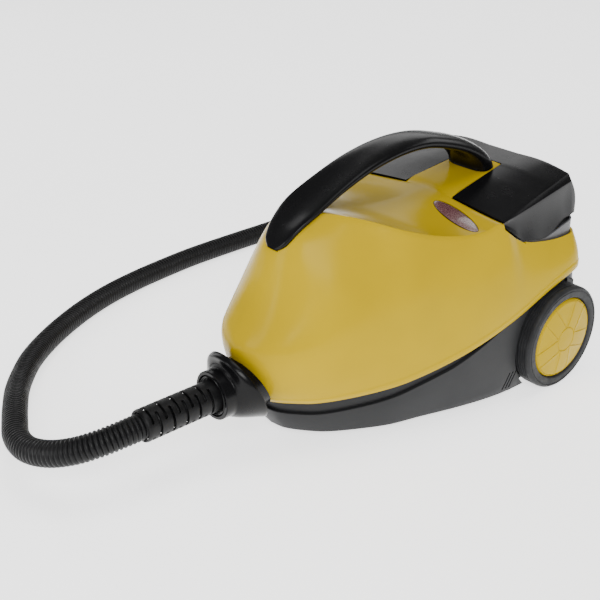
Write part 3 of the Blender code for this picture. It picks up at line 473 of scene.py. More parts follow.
GUN_DIR = (-sin(GUN_TURN), -cos(GUN_TURN), 0.0)
GUN_SIDE = (cos(GUN_TURN), -sin(GUN_TURN), 0.0)


def gun_point(along, across=0, rise=0):
    """Point `along` the gun from its tail and `across` it; the trigger is on the minus side."""
    return (GUN_TAIL[0] + GUN_DIR[0] * along + GUN_SIDE[0] * across,
            GUN_TAIL[1] + GUN_DIR[1] * along + GUN_SIDE[1] * across, GUN_Z + rise)


def coil_point(degrees):
    """Plan position on the middle line of the coil's turns."""
    a = radians(degrees)
    return COIL_AT[0] + COIL_R * cos(a), COIL_AT[1] + COIL_R * sin(a)


def coil_points():
    """One and a half turns: the first on the floor, the rest on top of it."""
    points = []
    for k in range(TURNS_STEPS + 1):
        turned_by = COIL_SWEEP * k / TURNS_STEPS
        z = HOSE_LOW + (HOSE_HIGH - HOSE_LOW) * smoothstep(265, 335, turned_by)
        points.append((*coil_point(180.0 - turned_by), z))
    return points


def hose_path():
    """Knots (distance, x, y, z) along the whole hose, from the outlet into the gun's grip."""
    coil = coil_points()
    end = coil[-1]
    mouth = gun_point(GUN_MOUTH)
    run = []
    for s in (12, 24, 35, 45, 55, 65, 75, 85, 95, 105):
        fall = max(0.0, min(s, 75) - 35.0) ** 2 / 2
        if s > 75:
            fall = 1600.0 - (115.0 - s) ** 2 / 2
        t = s / 117.9
        run.append((end[0] + (mouth[0] - end[0]) * t, end[1] + (mouth[1] - end[1]) * t,
                    end[2] - (end[2] - GUN_Z) * fall / 1600.0))
    grip = [gun_point(s) for s in (GUN_MOUTH, 0, 16, 32, 46)]
    start = [(0, y, NOZZLE_Z) for y in (-197, -220, -245)]
    route = np.array(start + HOSE_ROUTE + coil + run + grip, float)
    steps = np.sqrt((np.diff(route, axis=0) ** 2).sum(axis=1))
    along = np.concatenate([[0], np.cumsum(steps)])
    return [(t, *p) for t, p in zip(along, route)], along[-1]


# ---- form of the housing, repeated from the CAD source
RIBS = [  # station, base edge X Y, shell's lower edge X Y Z, upper edge X Y Z, share of swell
    (0.0, 0, -129, 0, -148, 47, 0, -95.8, 210.4, 1.0),
    (0.5, 15, -126, 17, -143, 47, 8.2, -94.0, 211.3, 0.92),
    (1.0, 30, -116, 31, -132, 47, 16, -90.0, 212.2, 0.76),
    (1.6, 45, -102, 48, -115, 48, 24.5, -83.2, 212.9, 0.55),
    (2.4, 60, -79, 67, -88, 52, 36.4, -71.8, 211.5, 0.34),
    (3.3, 75, -50, 84, -54, 57, 51.2, -54.3, 205.8, 0.20),
    (4.2, 84, -20, 94, -28, 63, 68, -34, 198, 0.14),
    (5.0, 91, 2, 101, -5, 69, 77, -8, 189, 0.10),
    (5.8, 97, 22, 106.5, 20, 75.5, 86, 20, 183.5, 0.10),
    (6.6, 103, 46, 110, 48, 83, 91.5, 46, 182, 0.10),
    (7.3, 107, 68, 111.7, 70, 89.5, 93, 69, 184, 0.10),
    (7.8, 108.5, 86, 112.6, 87, 95, 95, 86, 167, 0.08),
    (8.1, 109, 98, 113, 98, 99, 96, 97, 160, 0.07),
    (8.6, 109, 116, 113.2, 116, 105, 97, 115, 154.5, 0.06),
    (9.4, 108, 145, 112, 146, 112, 97, 147, 149, 0.05),
    (10.0, 105, 168, 108, 170, 114, 96, 172, 148, 0.04),
    (10.4, 99, 181, 101, 182, 114, 91, 181, 148, 0.03),
    (10.8, 88, 187, 90, 188, 114, 80, 186, 148, 0.02),
    (11.8, 45, 188.5, 45, 189.5, 114, 40, 187.5, 148, 0.02),
    (12.8, 0, 189, 0, 190, 114, 0, 188, 148, 0.02),
]
SIDE_STATION = 7.3  # where the deck ends and the lid's cut-out begins
NOSE_SWELL = [(0, 0), (0.08, 14), (0.19, 26.5), (0.29, 35), (0.37, 38), (0.45, 33.5),
              (0.54, 27.3), (0.64, 23.5), (0.75, 22.3), (0.85, 20.5), (0.94, 14), (1, 0)]
SIDE_SWELL = 70.0
DECK_MIDDLE = [(-95.8, 210.4), (-85, 211.4), (-60, 205), (-30, 198.5), (0, 194.8), (35, 192.4),
               (69, 193.3)]
NOSE_PART = 3.3  # station where the nose's swell has become the side's
LAST = 12.8  # the middle of the rear
FRONT = [k / 10 for k in range(73)] + [7.27, SIDE_STATION]
REAR = [SIDE_STATION + k * 5.5 / 56 for k in range(57)]
LIP = 7.5  # height of the raised band along the shell's lower edge


def rib(station):
    return spline(RIBS, station)


def plan_normal(station):
    if station == 0:
        return np.array([0.0, -1.0])
    if station >= LAST - 1e-6:
        return np.array([0.0, 1.0])
    d = rib(min(station + 0.05, LAST))[2:4] - rib(max(station - 0.05, 0))[2:4]
    return np.array([d[1], -d[0]]) / np.hypot(*d)


def shell_point(station, v, inset=0.0):
    """Point on the yellow shell's side, v = 0 at its lower edge and 1 at its upper edge."""
    r = rib(station)
    p = r[2:5] + (r[5:8] - r[2:5]) * v
    share = 1 - smoothstep(0, NOSE_PART, station)
    side = SIDE_SWELL * sin(pi * max(v, 0.0) ** 0.9)
    push = (spline(NOSE_SWELL, v)[0] * share + side * (1 - share)) * r[8]
    if station > SIDE_STATION:
        push = side * r[8]
    p[:2] += plan_normal(station) * (push - inset)
    return p


def deck_point(station, t):
    """Point on the deck, t = 0 at its crease and 1 on the middle line."""
    edge = rib(station)[5:8]
    middle = spline(DECK_MIDDLE, edge[1])[0]
    ease = 0.5 * t + 0.5 * smoothstep(0, 1, t)
    return np.array([edge[0] * (1 - t), edge[1], edge[2] + (middle - edge[2]) * ease])


PRONG_T = 1 - PRONG_HALF / 93.0
PRONG_COLUMNS = 6  # quads across half of the prong
PRONG_ROWS = 20


def prong_half(y):
    return PRONG_HALF - 0.078 * (y - DECK_EDGE_Y)


def prong_z(y):
    return DECK_Z + PRONG_RISE * (y - DECK_EDGE_Y)


def side_column(station):
    """The shell's side from its lower edge up, with the raised band along the edge."""
    r = rib(station)
    rise = r[7] - r[4]
    lip = LIP / rise
    column = [shell_point(station, v * lip, inset)
              for v, inset in ((0, 0.5), (0.08, -0.1), (0.2, -0.5), (0.8, -0.6), (0.95, -0.45),
                               (1.04, -0.1), (1.14, 0.0))]
    start = 1.14 * lip
    stop = 1 - 0.9 / rise
    column += [shell_point(station, start + (stop - start) * k / 26) for k in range(1, 27)]
    return column


def shell_skin():
    deck_ts = [0.01] + [PRONG_T * k / 11 for k in range(1, 12)]
    to_prong = len(deck_ts)
    deck_ts += [PRONG_T + (1 - PRONG_T) * k / PRONG_COLUMNS for k in range(1, PRONG_COLUMNS + 1)]
    front = []
    for s in FRONT:
        deck = [deck_point(s, t) for t in deck_ts]
        if s == SIDE_STATION:
            for p in deck[:to_prong]:
                p[2] -= 0.6
        front.append(side_column(s) + deck)
    edge = front[-1][-PRONG_COLUMNS - 1:]
    tail = [edge]
    for k in range(1, PRONG_ROWS + 1):
        y = DECK_EDGE_Y + (PRONG_END_Y - DECK_EDGE_Y) * k / PRONG_ROWS
        blend = smoothstep(DECK_EDGE_Y - 4, DECK_EDGE_Y + 12, y)
        row = []
        for j, start in enumerate(edge):
            inward = j / PRONG_COLUMNS
            crowned = prong_z(y) + 0.8 * (1 - (inward - 1) ** 2)
            row.append((prong_half(y) * (1 - inward), y, start[2] + (crowned - start[2]) * blend))
        tail.append(row)
    rear = [side_column(s) + [shell_point(s, 1.0)] for s in REAR]
    shell = build("shell_skin", [front, rear, tail], "yellow_plastic", 32, both=True)
    thicken(shell, WALL, 32)
    rings = [handle_ring(k / 5, 0.45, 48) for k in range(21)]
    rings.insert(0, [(p[0] * 1.05, p[1] - 0.4, p[2] - 0.5) for p in rings[0]])
    tools = [loft("pocket", rings)]
    seat = [(69.3, 178.6), (86, 165.6), (97, 158.8), (100, 157.0), (100, 200), (69.3, 200)]
    for side in (1, -1):
        tools.append(prism("seat", seat, 0, side * 80.0, side * 125.0))
    tools += [rod((0, -150, NOZZLE_Z), OUTLET_R, 80, Y_AXIS, 64),
              rod((0, HANDLE_SCREW_Y, 199), 2.3, 20),
              loft("window", [lens_ring(0.4, -8), lens_ring(0.4, 8)])]
    cut(shell, tools, 32, folded=True)
    place(shell, "upper_shell")


# ---- base
BASE_TOP = 4.0  # how far the base goes up inside the yellow shell


def base_point(station, v, inset=0.0):
    """Point on the base's side, v = 0 at its lower edge and 1 inside the yellow shell."""
    r = rib(station)
    normal = plan_normal(station)
    top = np.array([*(r[2:4] - normal * 5.0), r[4] + BASE_TOP])
    low = np.array([r[0], r[1], BASE_Z])
    p = low + (top - low) * v
    p[:2] += normal * (2.0 * sin(pi * v) - inset)
    return p


def base_column(station):
    """Up the base's outside, past the shadow groove under the yellow shell, and down inside."""
    rise = rib(station)[4] + BASE_TOP - BASE_Z
    groove = 15.5 - 3.0 * smoothstep(2.5, 5.0, station) - 9.5 * smoothstep(5.0, 8.0, station)
    depth = 3.4 - 1.6 * smoothstep(6.0, 8.0, station)
    inner = depth + WALL
    stop = 1 - (groove + BASE_TOP) / rise
    rows = [(stop * k / 9, 0.0) for k in range(10)]
    rows += [(stop + 0.5 / rise, 0.3), (stop + 0.8 / rise, 1.0), (stop + 0.9 / rise, depth)]
    rows += [(stop + (1 - stop) * t, depth) for t in (0.4, 1.0)]
    rows += [(t, inner) for t in (1.0, stop, stop * 0.6, stop * 0.3)]
    column = [base_point(station, v, inset) for v, inset in rows]
    low = base_point(station, 0.0, WALL + 0.8)
    return column + [np.array([low[0], low[1], UNDERSIDE_Z + WALL])]


def base_skin():
    columns = [base_column(s) for s in FRONT + REAR[1:]]
    rims = []
    for grow, z in ((1.0, BASE_Z), (0.995, 11.2), (0.98, 10.4), (0.95, UNDERSIDE_Z)):
        rims.append([(c[0][0] * grow, c[0][1] * (1 - (1 - grow) * 0.6), z) for c in columns])
    floors = [edge + mirrored(edge[-2:0:-1]) for edge in (rims[-1], [c[-1] for c in columns])]
    base = build("base_skin", [columns, rims], "grey_plastic", 30, both=True, faces=floors)
    floor = UNDERSIDE_Z + 0.1
    radius = POCKET_R + WALL
    arch = [(AXLE_Y - radius * cos(pi * k / 64), WHEEL_R + radius * sin(pi * k / 64))
            for k in range(65)]
    added, cuts = [], []
    for side in (1, -1):
        for reach, rear in ((107.0, 164.0), (93.0, 186.0)):
            part = [(y, z) for y, z in arch if y < rear]
            part = [(part[0][0], floor)] + part + [(part[-1][0], floor)]
            added.append(prism("pocket", part, 0, side * (POCKET_X - WALL), side * reach))
        cuts.append(rod((side * (POCKET_X + 20), AXLE_Y, WHEEL_R), POCKET_R, 40, X_AXIS, 128))
        cuts.append(rod((side * 98, AXLE_Y, WHEEL_R), 4.3, 12, X_AXIS))
        for y in (70.5, 74.9, 79.3):
            slot = [(y, 15), (y + 1.9, 15), (y + 9.9, 32), (y + 8, 32)]
            cuts.append(prism("vent", slot, 0, side * 98.0, side * 118.0))
    added.append(rod((*CASTER_AT, floor + 13), 26, 26, segments=64))
    cuts += [rod((*CASTER_AT, UNDERSIDE_Z + 9.7), 23.6, 27.4, segments=64),
             rod((*CASTER_AT, 35), 5.12, 12),
             rod((0, -136, NOZZLE_Z), OUTLET_R, 60, Y_AXIS, 64)]
    for x, y in BASE_SCREWS:
        added.append(rod((x, y, floor + 4), 7, 8))
        cuts += [rod((x, y, 11), 4.3, 6), rod((x, y, 16), 2.4, 8)]
    cuts += [rod((-45, 189, 45), 6.3, 14, Y_AXIS),
             box("switch", (-15.4, 178, 60.1), (15.4, 198, 83.9))]
    join(base, added, 30)
    cut(base, cuts, 30)
    place(base, "base_shell")


# ---- rear lid and filler well
LID_GAP = 0.7
SIDE_ROWS = 12
RIM_FOOT_Z = 146.0
LEDGE_Z = 152.0
LEDGE_TOP_Z = 153.4
LID_LOW = [(70, 93.6, 181), (86, 95.4, 168.2), (97, 95.6, 161.2), (115, 95.6, 156.2),
           (132, 94.6, 153.5), (147.5, 92.8, 155.7), (162, 90.6, 159.2), (174, 88.5, 161.2),
           (187, 87, 163)]
LID_EDGE = [(69.7, 93.2, 184.6), (115, 90.2, 189.5), (147.5, 87.6, 193), (179, 85, 196.3)]
LID_SHOULDER = [(69.7, 91.8, 185.0), (115, 87, 193), (147.5, 84, 198), (179, 80.5, 203)]


def lid_top_z(x, y):
    """Height of the lid's crowned top inboard of its shoulder."""
    shoulder = spline(LID_SHOULDER, y)
    inner = prong_z(y) if y < PRONG_END_Y else 205.0 + (y - PRONG_END_Y) * 0.07
    t = min(1.0, (shoulder[0] - abs(x)) / (shoulder[0] - 20.0))
    crown = 2.5 * sin(pi * t) * min(1.0, (y - 60) / 60)
    return shoulder[1] + (inner - shoulder[1]) * t + crown


def lid_skin():
    top, side, middle = [], [], []
    for y in [70 + 3.1 * k for k in range(25)] + [147.5 + 3.15 * k for k in range(11)]:
        edge, shoulder = spline(LID_EDGE, y), spline(LID_SHOULDER, y)
        stop = prong_half(min(y, 147.5)) + LID_GAP
        late = max(0.0, (y - 168.0) / 11.0) ** 2
        low_y = y + 8.0 * late
        low = spline(LID_LOW, low_y)
        xs = [shoulder[0] + (stop - shoulder[0]) * k / 14 for k in range(15)]
        top.append([(edge[0], y, edge[1])] + [(x, y, lid_top_z(x, y)) for x in xs])
        column = []
        for k in range(SIDE_ROWS + 1):
            t = k / SIDE_ROWS
            bow = sin(pi * t)
            column.append((edge[0] + (low[0] - edge[0]) * t - 1.6 * bow,
                           y + (low_y - y) * t + 6.0 * late * bow,
                           edge[1] + (low[1] - edge[1]) * t))
        side.append(column)
        if y > PRONG_END_Y:
            xs = [stop * (1 - k / 4) for k in range(5)]
            middle.append([(x, y, lid_top_z(x, y)) for x in xs])
    wall = []
    for k, c in enumerate(side[-1]):
        t = k / SIDE_ROWS
        row = [c]
        for p in top[-1][1:] + middle[-1][1:]:
            y = c[1] + 1.2 * sin(pi / 2 * ((85 - p[0]) / 85)) * t
            row.append((p[0], y if k else p[1], p[2] + (163.0 - p[2]) * t))
        wall.append(row)
    lid = build("lid_skin", [top, side, middle, wall], "black_plastic", 25, both=True)
    soften(lid, 0.7, 24)
    thicken(lid, 2.2, 30)
    added, cuts = [], []
    for x in (-HINGE_X, HINGE_X):
        added.append(box("web", (x - 4.6, 184.8, HINGE_Z - 1), (x + 4.6, 189, 169)))
        added.append(hinge_rod(x, 4, 10))
        cuts.append(hinge_rod(x, 1.6, 14))
    join(lid, added, 30)
    cut(lid, cuts, 30)
    place(lid, "rear_lid", body="lid")


def hinge_rod(x, radius, length):
    """Round bar on the lid's hinge line."""
    return rod((x, HINGE_Y, HINGE_Z), radius, length, X_AXIS)


def well_outline(inset):
    """Plan of the filler well: straight front, rounded rear corners."""
    half, front, back, radius = 89.0 - inset, 75.0 + inset, 184.4 - inset, 14.0
    points = [(half, front)]
    points += [(half - 0.3 * k, front + (back - radius - front) * k / 10) for k in range(1, 10)]
    for k in range(11):
        a = radians(9 * k)
        points.append((half - 3 - radius + radius * cos(a),
                       back - radius + radius * sin(a)))
    return points + mirrored(points[::-1])


def prong_wedge(shift, far, half):
    """Solid from the prong's slope, moved by `shift`, to the height `far`, to cut with."""
    slope = [(y, prong_z(y) + shift) for y in (60, 160)]
    return prism("wedge", slope + [(160, far), (60, far)], 0, -half, half)


def well_skin():
    rim = well_outline(0)
    top = [(x, y, 157.0 + 4.0 * smoothstep(140, 172, y)) for x, y in rim]
    floor = [[(x, y, z) for x, y in rim] for z in (WELL_Z, WELL_Z + 1.5)]
    well = loft("well_skin", floor + [top], "light_grey_plastic")
    cut(well, [prism("hollow", well_outline(WALL), 2, WELL_Z + WALL, 175)])
    added, cuts = [], []
    for x in (-HINGE_X, HINGE_X):
        for arm in (x - 8.2, x + 8.2):
            added.append(box("arm", (arm - 2.6, 180, 154.0), (arm + 2.6, HINGE_Y, HINGE_Z)))
            added.append(hinge_rod(arm, 4, 5.2))
        cuts += [hinge_rod(x, 1.55, 26), hinge_rod(x, 4.5, 10.8)]
    post = box("post", (-17, 86, WELL_Z + 1), (17, 138, 186), radius=4)
    cut(post, [prong_wedge(-3.4, 260, 30)])
    added.append(post)
    cuts += [box("post_hollow", (-14.6, 88.4, WELL_Z - 1), (14.6, 135.6, 183), radius=2),
             rod((*CAP_AT, WELL_Z), 12.6, 12, segments=48),
             rod((0, HANDLE_SCREW_Y, 190), 2.3, 24)]
    join(well, added)
    cut(well, cuts)
    place(soften(well, 0.35, 40), "filler_well")


def rim_section(station):
    """Section of the well's outer rim: an upright wall and a ledge in to the well."""
    top = spline(LID_LOW, min(rib(station)[6], 184.0))[1] - 0.7
    top += (154.0 - top) * smoothstep(10.4, 11.2, station)
    outer, inner = WALL + 0.5, WALL + 2.1
    section = []
    for inset, z in ((outer, RIM_FOOT_Z), (outer, top), (inner, top), (inner, LEDGE_TOP_Z),
                     (8.4, LEDGE_TOP_Z), (8.4, LEDGE_Z), (inner, LEDGE_Z), (inner, RIM_FOOT_Z)):
        section.append((*shell_point(station, 1.0, inset)[:2], z))
    return section


def rim_skin():
    half = [rim_section(7.8 + k / 20) for k in range(101)]
    rings = half + [mirrored(ring) for ring in half[-2::-1]]
    place(loft("rim_skin", rings, "light_grey_plastic"), "filler_well")


# ---- handle
HANDLE_PATH = [  # station, Y, Z of the middle, half width, half thickness, dish of the top
    (0.0, -124.0, 184.5, 6, 3.2, 0.5), (0.25, -121.8, 188.4, 11.3, 3.4, 1),
    (0.5, -119, 192.5, 14.2, 3.6, 1.5), (1.0, -109, 203, 18, 4.0, 3.0),
    (2.0, -88, 216, 22, 4.4, 4.0), (3.0, -58, 228.8, 21.3, 5.0, 3.6),
    (4.0, -24, 239.4, 20.8, 5.8, 2.0), (5.0, 12, 245, 20.2, 6.2, 0.0),
    (6.0, 46, 244.3, 19.6, 6.2, -1.5), (7.0, 78, 236.6, 20.2, 6.2, -2.2),
    (8.0, 104, 226.6, 22.2, 7.0, -2.2), (9.0, 123, 213.5, 24.2, 9.4, -1.6),
    (10.0, 130.4, 200, 25, 13.6, -0.6), (10.5, 130.6, 190, 25, 15.2, 0.0)]
HANDLE_END = 10.5


def handle_ring(station, grow=0.0, sides=64):
    y, z, half, thick, dish = spline(HANDLE_PATH, station)
    ahead = spline(HANDLE_PATH, min(station + 0.05, HANDLE_END))[:2]
    behind = spline(HANDLE_PATH, max(station - 0.05, 0))[:2]
    along = (ahead - behind) / np.hypot(*(ahead - behind))
    ring = []
    for c, s in circle(sides):
        across = (half + grow) * copysign(abs(c) ** 0.75, c)
        height = (thick + grow) * copysign(abs(s) ** 0.8, s)
        height -= dish * (1 - (across / (half + grow)) ** 2)
        ring.append((across, y - along[1] * height, z + along[0] * height))
    return ring


def handle_skin():
    grip = loft("handle_skin", [handle_ring(k / 10) for k in range(106)], sharp=50)
    cut(grip, [prong_wedge(1.3, 150, 40), rod((0, HANDLE_SCREW_Y, 208), 2.3, 14)], 50)
    place(grip, "handle")


# ---- steam outlet on the nose
SLOT_ROWS = 10  # rings of slots along the strain relief
FLARE = [(-HALF_LENGTH, 22.5, 22.5), (-185, 22.5, 22.5), (-182, 23.6, 24.5), (-178, 27.5, 28),
         (-173, 31.5, 31.5), (-168, 34.5, 34), (-165.2, 35.4, 35), (-163.8, 34.6, 34.2),
         (-163, 26, 26), (-120, 26, 26)]


def housing_core(name, point, rows):
    """Solid of the housing's outside, a little larger than it, to cut a neighbour with."""
    rings = []
    for v in rows:
        near = [point(s, v, -GAP) for s in FRONT if s <= 5.0]
        rings.append(near + mirrored(near[:0:-1]))
    ends = [[(0, -40, ring[0][2])] * len(ring) for ring in (rings[0], rings[-1])]
    return loft(name, [ends[0]] + rings + [ends[1]])


def flange_skin():
    knots = [(i, *f) for i, f in enumerate(FLARE)]
    rings = []
    for k in range(8 * len(FLARE) - 7):
        y, a, b = spline(knots, k / 8)
        if k <= 8:
            y, a, b = FLARE[0][0] + 9.5 * k / 8, *FLARE[0][1:]
        lean = 0.42 * smoothstep(-186, -168, y)
        rings.append([(a * c, y - lean * (b * s), NOZZLE_Z + b * s) for c, s in circle(80)])
    first = [(p[0] * 0.965, p[1], NOZZLE_Z + (p[2] - NOZZLE_Z) * 0.965) for p in rings[0]]
    rings[0] = [(p[0], p[1] + 0.8, p[2]) for p in rings[0]]
    flange = loft("outlet_skin", [first] + rings, sharp=40)
    cores = [housing_core("nose_core", shell_point, [-0.02] + [k / 24 for k in range(1, 19)]),
             housing_core("base_core", base_point, [-0.3, -0.1, 0.0, 0.15, 0.3, 0.5, 0.7, 0.93]),
             rod((0, -165, NOZZLE_Z), 19.3, 80, Y_AXIS, 80)]
    cut(flange, cores, 40)
    place(flange, "outlet_flange")


def socket_skin():
    profile = [(15.2, 182), (18.8, 182), (18.8, 193.0), (18.2, 193.8), (17.4, 194.3),
               (17.0, 194.1), (16.8, 192.9), (16.1, 192.6), (15.9, 190.6), (15.2, 190.3)]
    place(turned("socket_skin", profile, OUTLET_AT, AHEAD, segments=96, sharp=30), "socket_ring")
    catch = box("catch", (-21.4, -193.9, NOZZLE_Z - 3.2), (-17.2, -188, NOZZLE_Z + 3.2))
    place(soften(catch, 0.6))


def relief_skin():
    """Slotted rubber sleeve: rings of slots, each turned a quarter from the last."""
    end = HALF_LENGTH + SLEEVE_LEN
    rows = [(181.6, 14.9, None), (198.0, SLEEVE_R, None)]  # distance, radius, turn of the slots
    for k in range(SLOT_ROWS):
        at = 201.4 + 6.6 * k
        rows += [(at, SLEEVE_R, 90 * (k % 2)), (at + 2.4, SLEEVE_R, None)]
    rows += [(end - 2.4, SLEEVE_R, None), (end - 0.8, 14.3, None), (end, 13.7, None)]
    sides = 96
    bm = bmesh.new()
    rings = [[bm.verts.new((r * c, -h, NOZZLE_Z + r * s)) for c, s in circle(sides)]
             for h, r, _ in rows]
    for (_, _, turn), a, b in zip(rows, rings, rings[1:]):
        for j in range(sides):
            if turn is not None:
                angle = (360 * (j + 0.5) / sides + turn) % 180
                if min(angle, 180 - angle) < 64:
                    continue
            i = (j + 1) % sides
            bm.faces.new((a[j], a[i], b[i], b[j]))
    sleeve = finish("relief_skin", bm, "hose_rubber", 30)
    thicken(sleeve, 2.1, 30)
    soften(sleeve, 0.3, 50, 1)
    profile = [(12.4, 178), (18.0, 178), (18.0, 181.8), (16.4, 182.6), (15.0, 183.4),
               (12.4, 183.4)]
    place(turned("relief_collar", profile, OUTLET_AT, AHEAD, "hose_rubber"), "strain_relief")
    return place(sleeve, "strain_relief")


# ---- hose
RINGS = ((0.0, 10.3), (0.9, 11.35), (1.5, 11.65), (2.5, 11.65), (3.1, 11.35))
RING_PITCH = 3.9


def hose_skin():
    knots, length = hose_path()
    count = int(length / RING_PITCH)
    rows, line = [], []
    for k in range(count):
        for shift, radius in RINGS:
            t = RING_PITCH * k + shift
            at = spline(knots, t)
            ahead = spline(knots, min(t + 1.0, length)) - spline(knots, max(t - 1.0, 0.0))
            n = Vector(ahead).normalized()
            u = n.cross(Vector(UP)).normalized()
            v = u.cross(n)
            r = radius - smoothstep(length - 50, length - 44, t) * 1.1
            rows.append([Vector(at) + u * (r * c) + v * (r * s) for c, s in circle(20)])
            if shift == 0.0:
                line.append([float(c) * MM for c in at])
    hose = loft("hose_skin", rows, "hose_rubber", 40)
    place(hose, "steam_hose", "steam_hose_coil", "steam_hose_tail")
    return hose, line, (count - 1) * RING_PITCH * MM


def hose_tie():
    """Strap that holds the coil's turns together, at its far side."""
    a = radians(TIE_ANGLE)
    at = Vector((*coil_point(TIE_ANGLE), 0))
    out = Vector((cos(a), sin(a), 0))
    along = Vector((-sin(a), cos(a), 0))
    half, low, high, r = HOSE_D / 2 + 0.9, 0.25, HOSE_HIGH + HOSE_D / 2 + 0.9, 12.4
    outline = rounded_rect(half, (high - low) / 2, r, (0, (high + low) / 2), 8)
    rings = []
    for s, grow in ((-7, 0.0), (-6.4, 0.7), (6.4, 0.7), (7, 0.0)):
        rings.append([at + out * p[0] * (1 + grow / half) + along * s
                      + Vector((0, 0, max(low, (p[1] - high / 2) * (1 + grow / high) + high / 2)))
                      for p in outline])
    return place(loft("hose_tie", rings))


# ---- steam gun
GUN_FORM = [  # along, middle across, half width, half thickness
    (0, 0, 13.5, 13.5), (12, 0, 15, 15), (35, 1, 16, 17), (65, 1, 16.5, 18.1), (90, 1, 17, 18.1),
    (110, 1, 17, 17.5), (130, 0, 14.5, 15.5), (146, 0, 11.5, 12), (152, 0, 10.5, 10.5)]


def gun_half(name, sign, shrink):
    """One shell of the gun, or its hollow when `shrink` is above zero."""
    low, high = (2.2, GUN_LENGTH - 2.2) if shrink else (0.0, GUN_LENGTH)
    rings = []
    for k in range(41):
        along = low + (high - low) * k / 40
        mid, wide, thick = spline(GUN_FORM, along)
        if not shrink:
            nip = 0.9 * (1 - min(1.0, min(along, GUN_LENGTH - along) / 1.5)) ** 2
            wide, thick = wide - nip, thick - nip
            thick -= 0.5 * max(0.0, sin(tau * along / 7.0)) * (16 < along < 62)
        ring = []
        for j in range(25):
            a = pi * j / 24
            c, s = cos(a), sin(a)
            across = mid + (wide - shrink) * copysign(abs(c) ** 0.8, c)
            rise = (thick - shrink) * s ** 0.8
            if j in (0, 24):
                rise = -1.0 if shrink else 0.15
            ring.append(gun_point(along, across, sign * rise))
        rings.append(ring)
    return loft(name, rings, sharp=40)


def gun_slab(name, outline, half, slot="black_plastic"):
    """Slab in the gun's middle plane, from an outline of (along, across) points."""
    return prism(name, [gun_point(*p)[:2] for p in outline], 2, GUN_Z - half, GUN_Z + half, slot)


def gun_skins():
    made = []
    for name, sign in (("gun_shell_left", 1), ("gun_shell_right", -1)):
        shell = gun_half(name.replace("shell", "skin"), sign, 0.0)
        cut(shell, [gun_half("hollow", sign, 2.2),
                    gun_slab("slot", ((76, -26), (76, -7), (137, -7), (137, -26)), 5.7),
                    rod(gun_point(*TRIGGER_PIN), 2.25, 34),
                    rod(gun_point(150), 4.6, 14, GUN_DIR),
                    rod(gun_point(0), 10.9, 14, GUN_DIR, 40)], 40)
        made.append(place(shell, name))
    profile = [(4.6, 152.5), (9.4, 152.5), (10, 153.1), (10.1, 155.5), (9.5, 156), (9.5, 157),
               (10.2, 157.6), (10.4, 160), (9.9, 161.2), (8, 163), (7.6, 168), (7, 174),
               (6.2, 175.4), (3.6, 176), (3.0, 175.4), (3.0, 158), (4.6, 157)]
    nozzle = turned("gun_nozzle_skin", profile, gun_point(0), GUN_DIR, "grey_plastic", 48, 30)
    ribs = [(12.2, -0.4), (13.6, -0.4), (14.0, -1.2), (14.0, -3.2), (13.2, -3.8), (13.2, -4.8),
            (13.7, -5.2), (13.7, -6.6), (12.9, -7.2), (12.9, -8.2), (13.2, -8.6), (13.1, -10.4),
            (12.5, -12.2), (12.0, -12.2)]
    sleeve = turned("gun_sleeve_skin", ribs, gun_point(0), GUN_DIR, "hose_rubber", 48, 30)
    outline = [(135, -13.5), (134.6, -10), (132, -8), (129, -8.2), (125, -12), (122, -15),
               (117, -18.5), (112, -20.5), (105, -22), (98, -22.5), (90, -22.4), (84, -22),
               (80.6, -23), (80, -24.6), (81, -26.8), (84, -27.8), (98, -28.5), (108, -28.2),
               (114, -27.5), (121, -25.2), (127, -22)]
    lever = gun_slab("gun_trigger_skin", outline, 5, "grey_plastic")
    cut(lever, [rod(gun_point(*TRIGGER_PIN), 2.06, 20)])
    soften(lever, 0.7)
    outline = [(58, 18.2), (70, 18.2), (69, 21)]
    for along in (66, 64, 62):
        outline += [(along + 0.6, 21), (along, 20.3), (along - 0.6, 21)]
    lock = gun_slab("gun_lock_skin", outline + [(59, 21)], 4, "grey_plastic")
    soften(lock, 0.3)
    made += [place(nozzle, "gun_nozzle"), place(sleeve, "gun_hose_sleeve"),
             place(lever, "gun_trigger", body="trigger"), place(lock, "gun_lock", body="lock")]
    return made + [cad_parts["gun_tube"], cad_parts["gun_trigger_pin"]]


# ---- wheels
SPOKES = (56, 128, 200, 272, 344)  # degrees from +Y towards +Z, on both wheels
HUB_R = 12.3  # of the groove round the hub
DISC_SIDES = 432
DOME = [(0, 13.6), (14, 13.1), (28, 11.7), (CAP_R - 1.6, 9.8), (CAP_R, 8.4)]


def disc_height(r, angle):
    """Height of the wheel disc's face, with the grooves that outline its five spokes."""
    nearest = min(abs((angle - s + 180) % 360 - 180) for s in SPOKES)
    along = r * cos(radians(nearest))
    off = r * sin(radians(min(nearest, 89))) - (7.3 + 0.06 * (along - 15))
    groove = 1 - smoothstep(0.15, 0.75, abs(r - HUB_R))
    if 11.5 < along < 38.6:
        groove = max(groove, 1 - smoothstep(0.15, 0.75, abs(off)))
    if r > 30:
        groove = max(groove, 1 - smoothstep(0.1, 0.55, abs(r - 38.9)))
    hollow = 0.35 * smoothstep(0.2, 5.0, off) if r > 14 else 0.0
    edge = 1.1 * (max(0.0, r - 39.2) / 2.0) ** 2
    return spline(DOME, r)[0] - 0.75 * groove - hollow * (1 - smoothstep(34, 38, r)) - edge


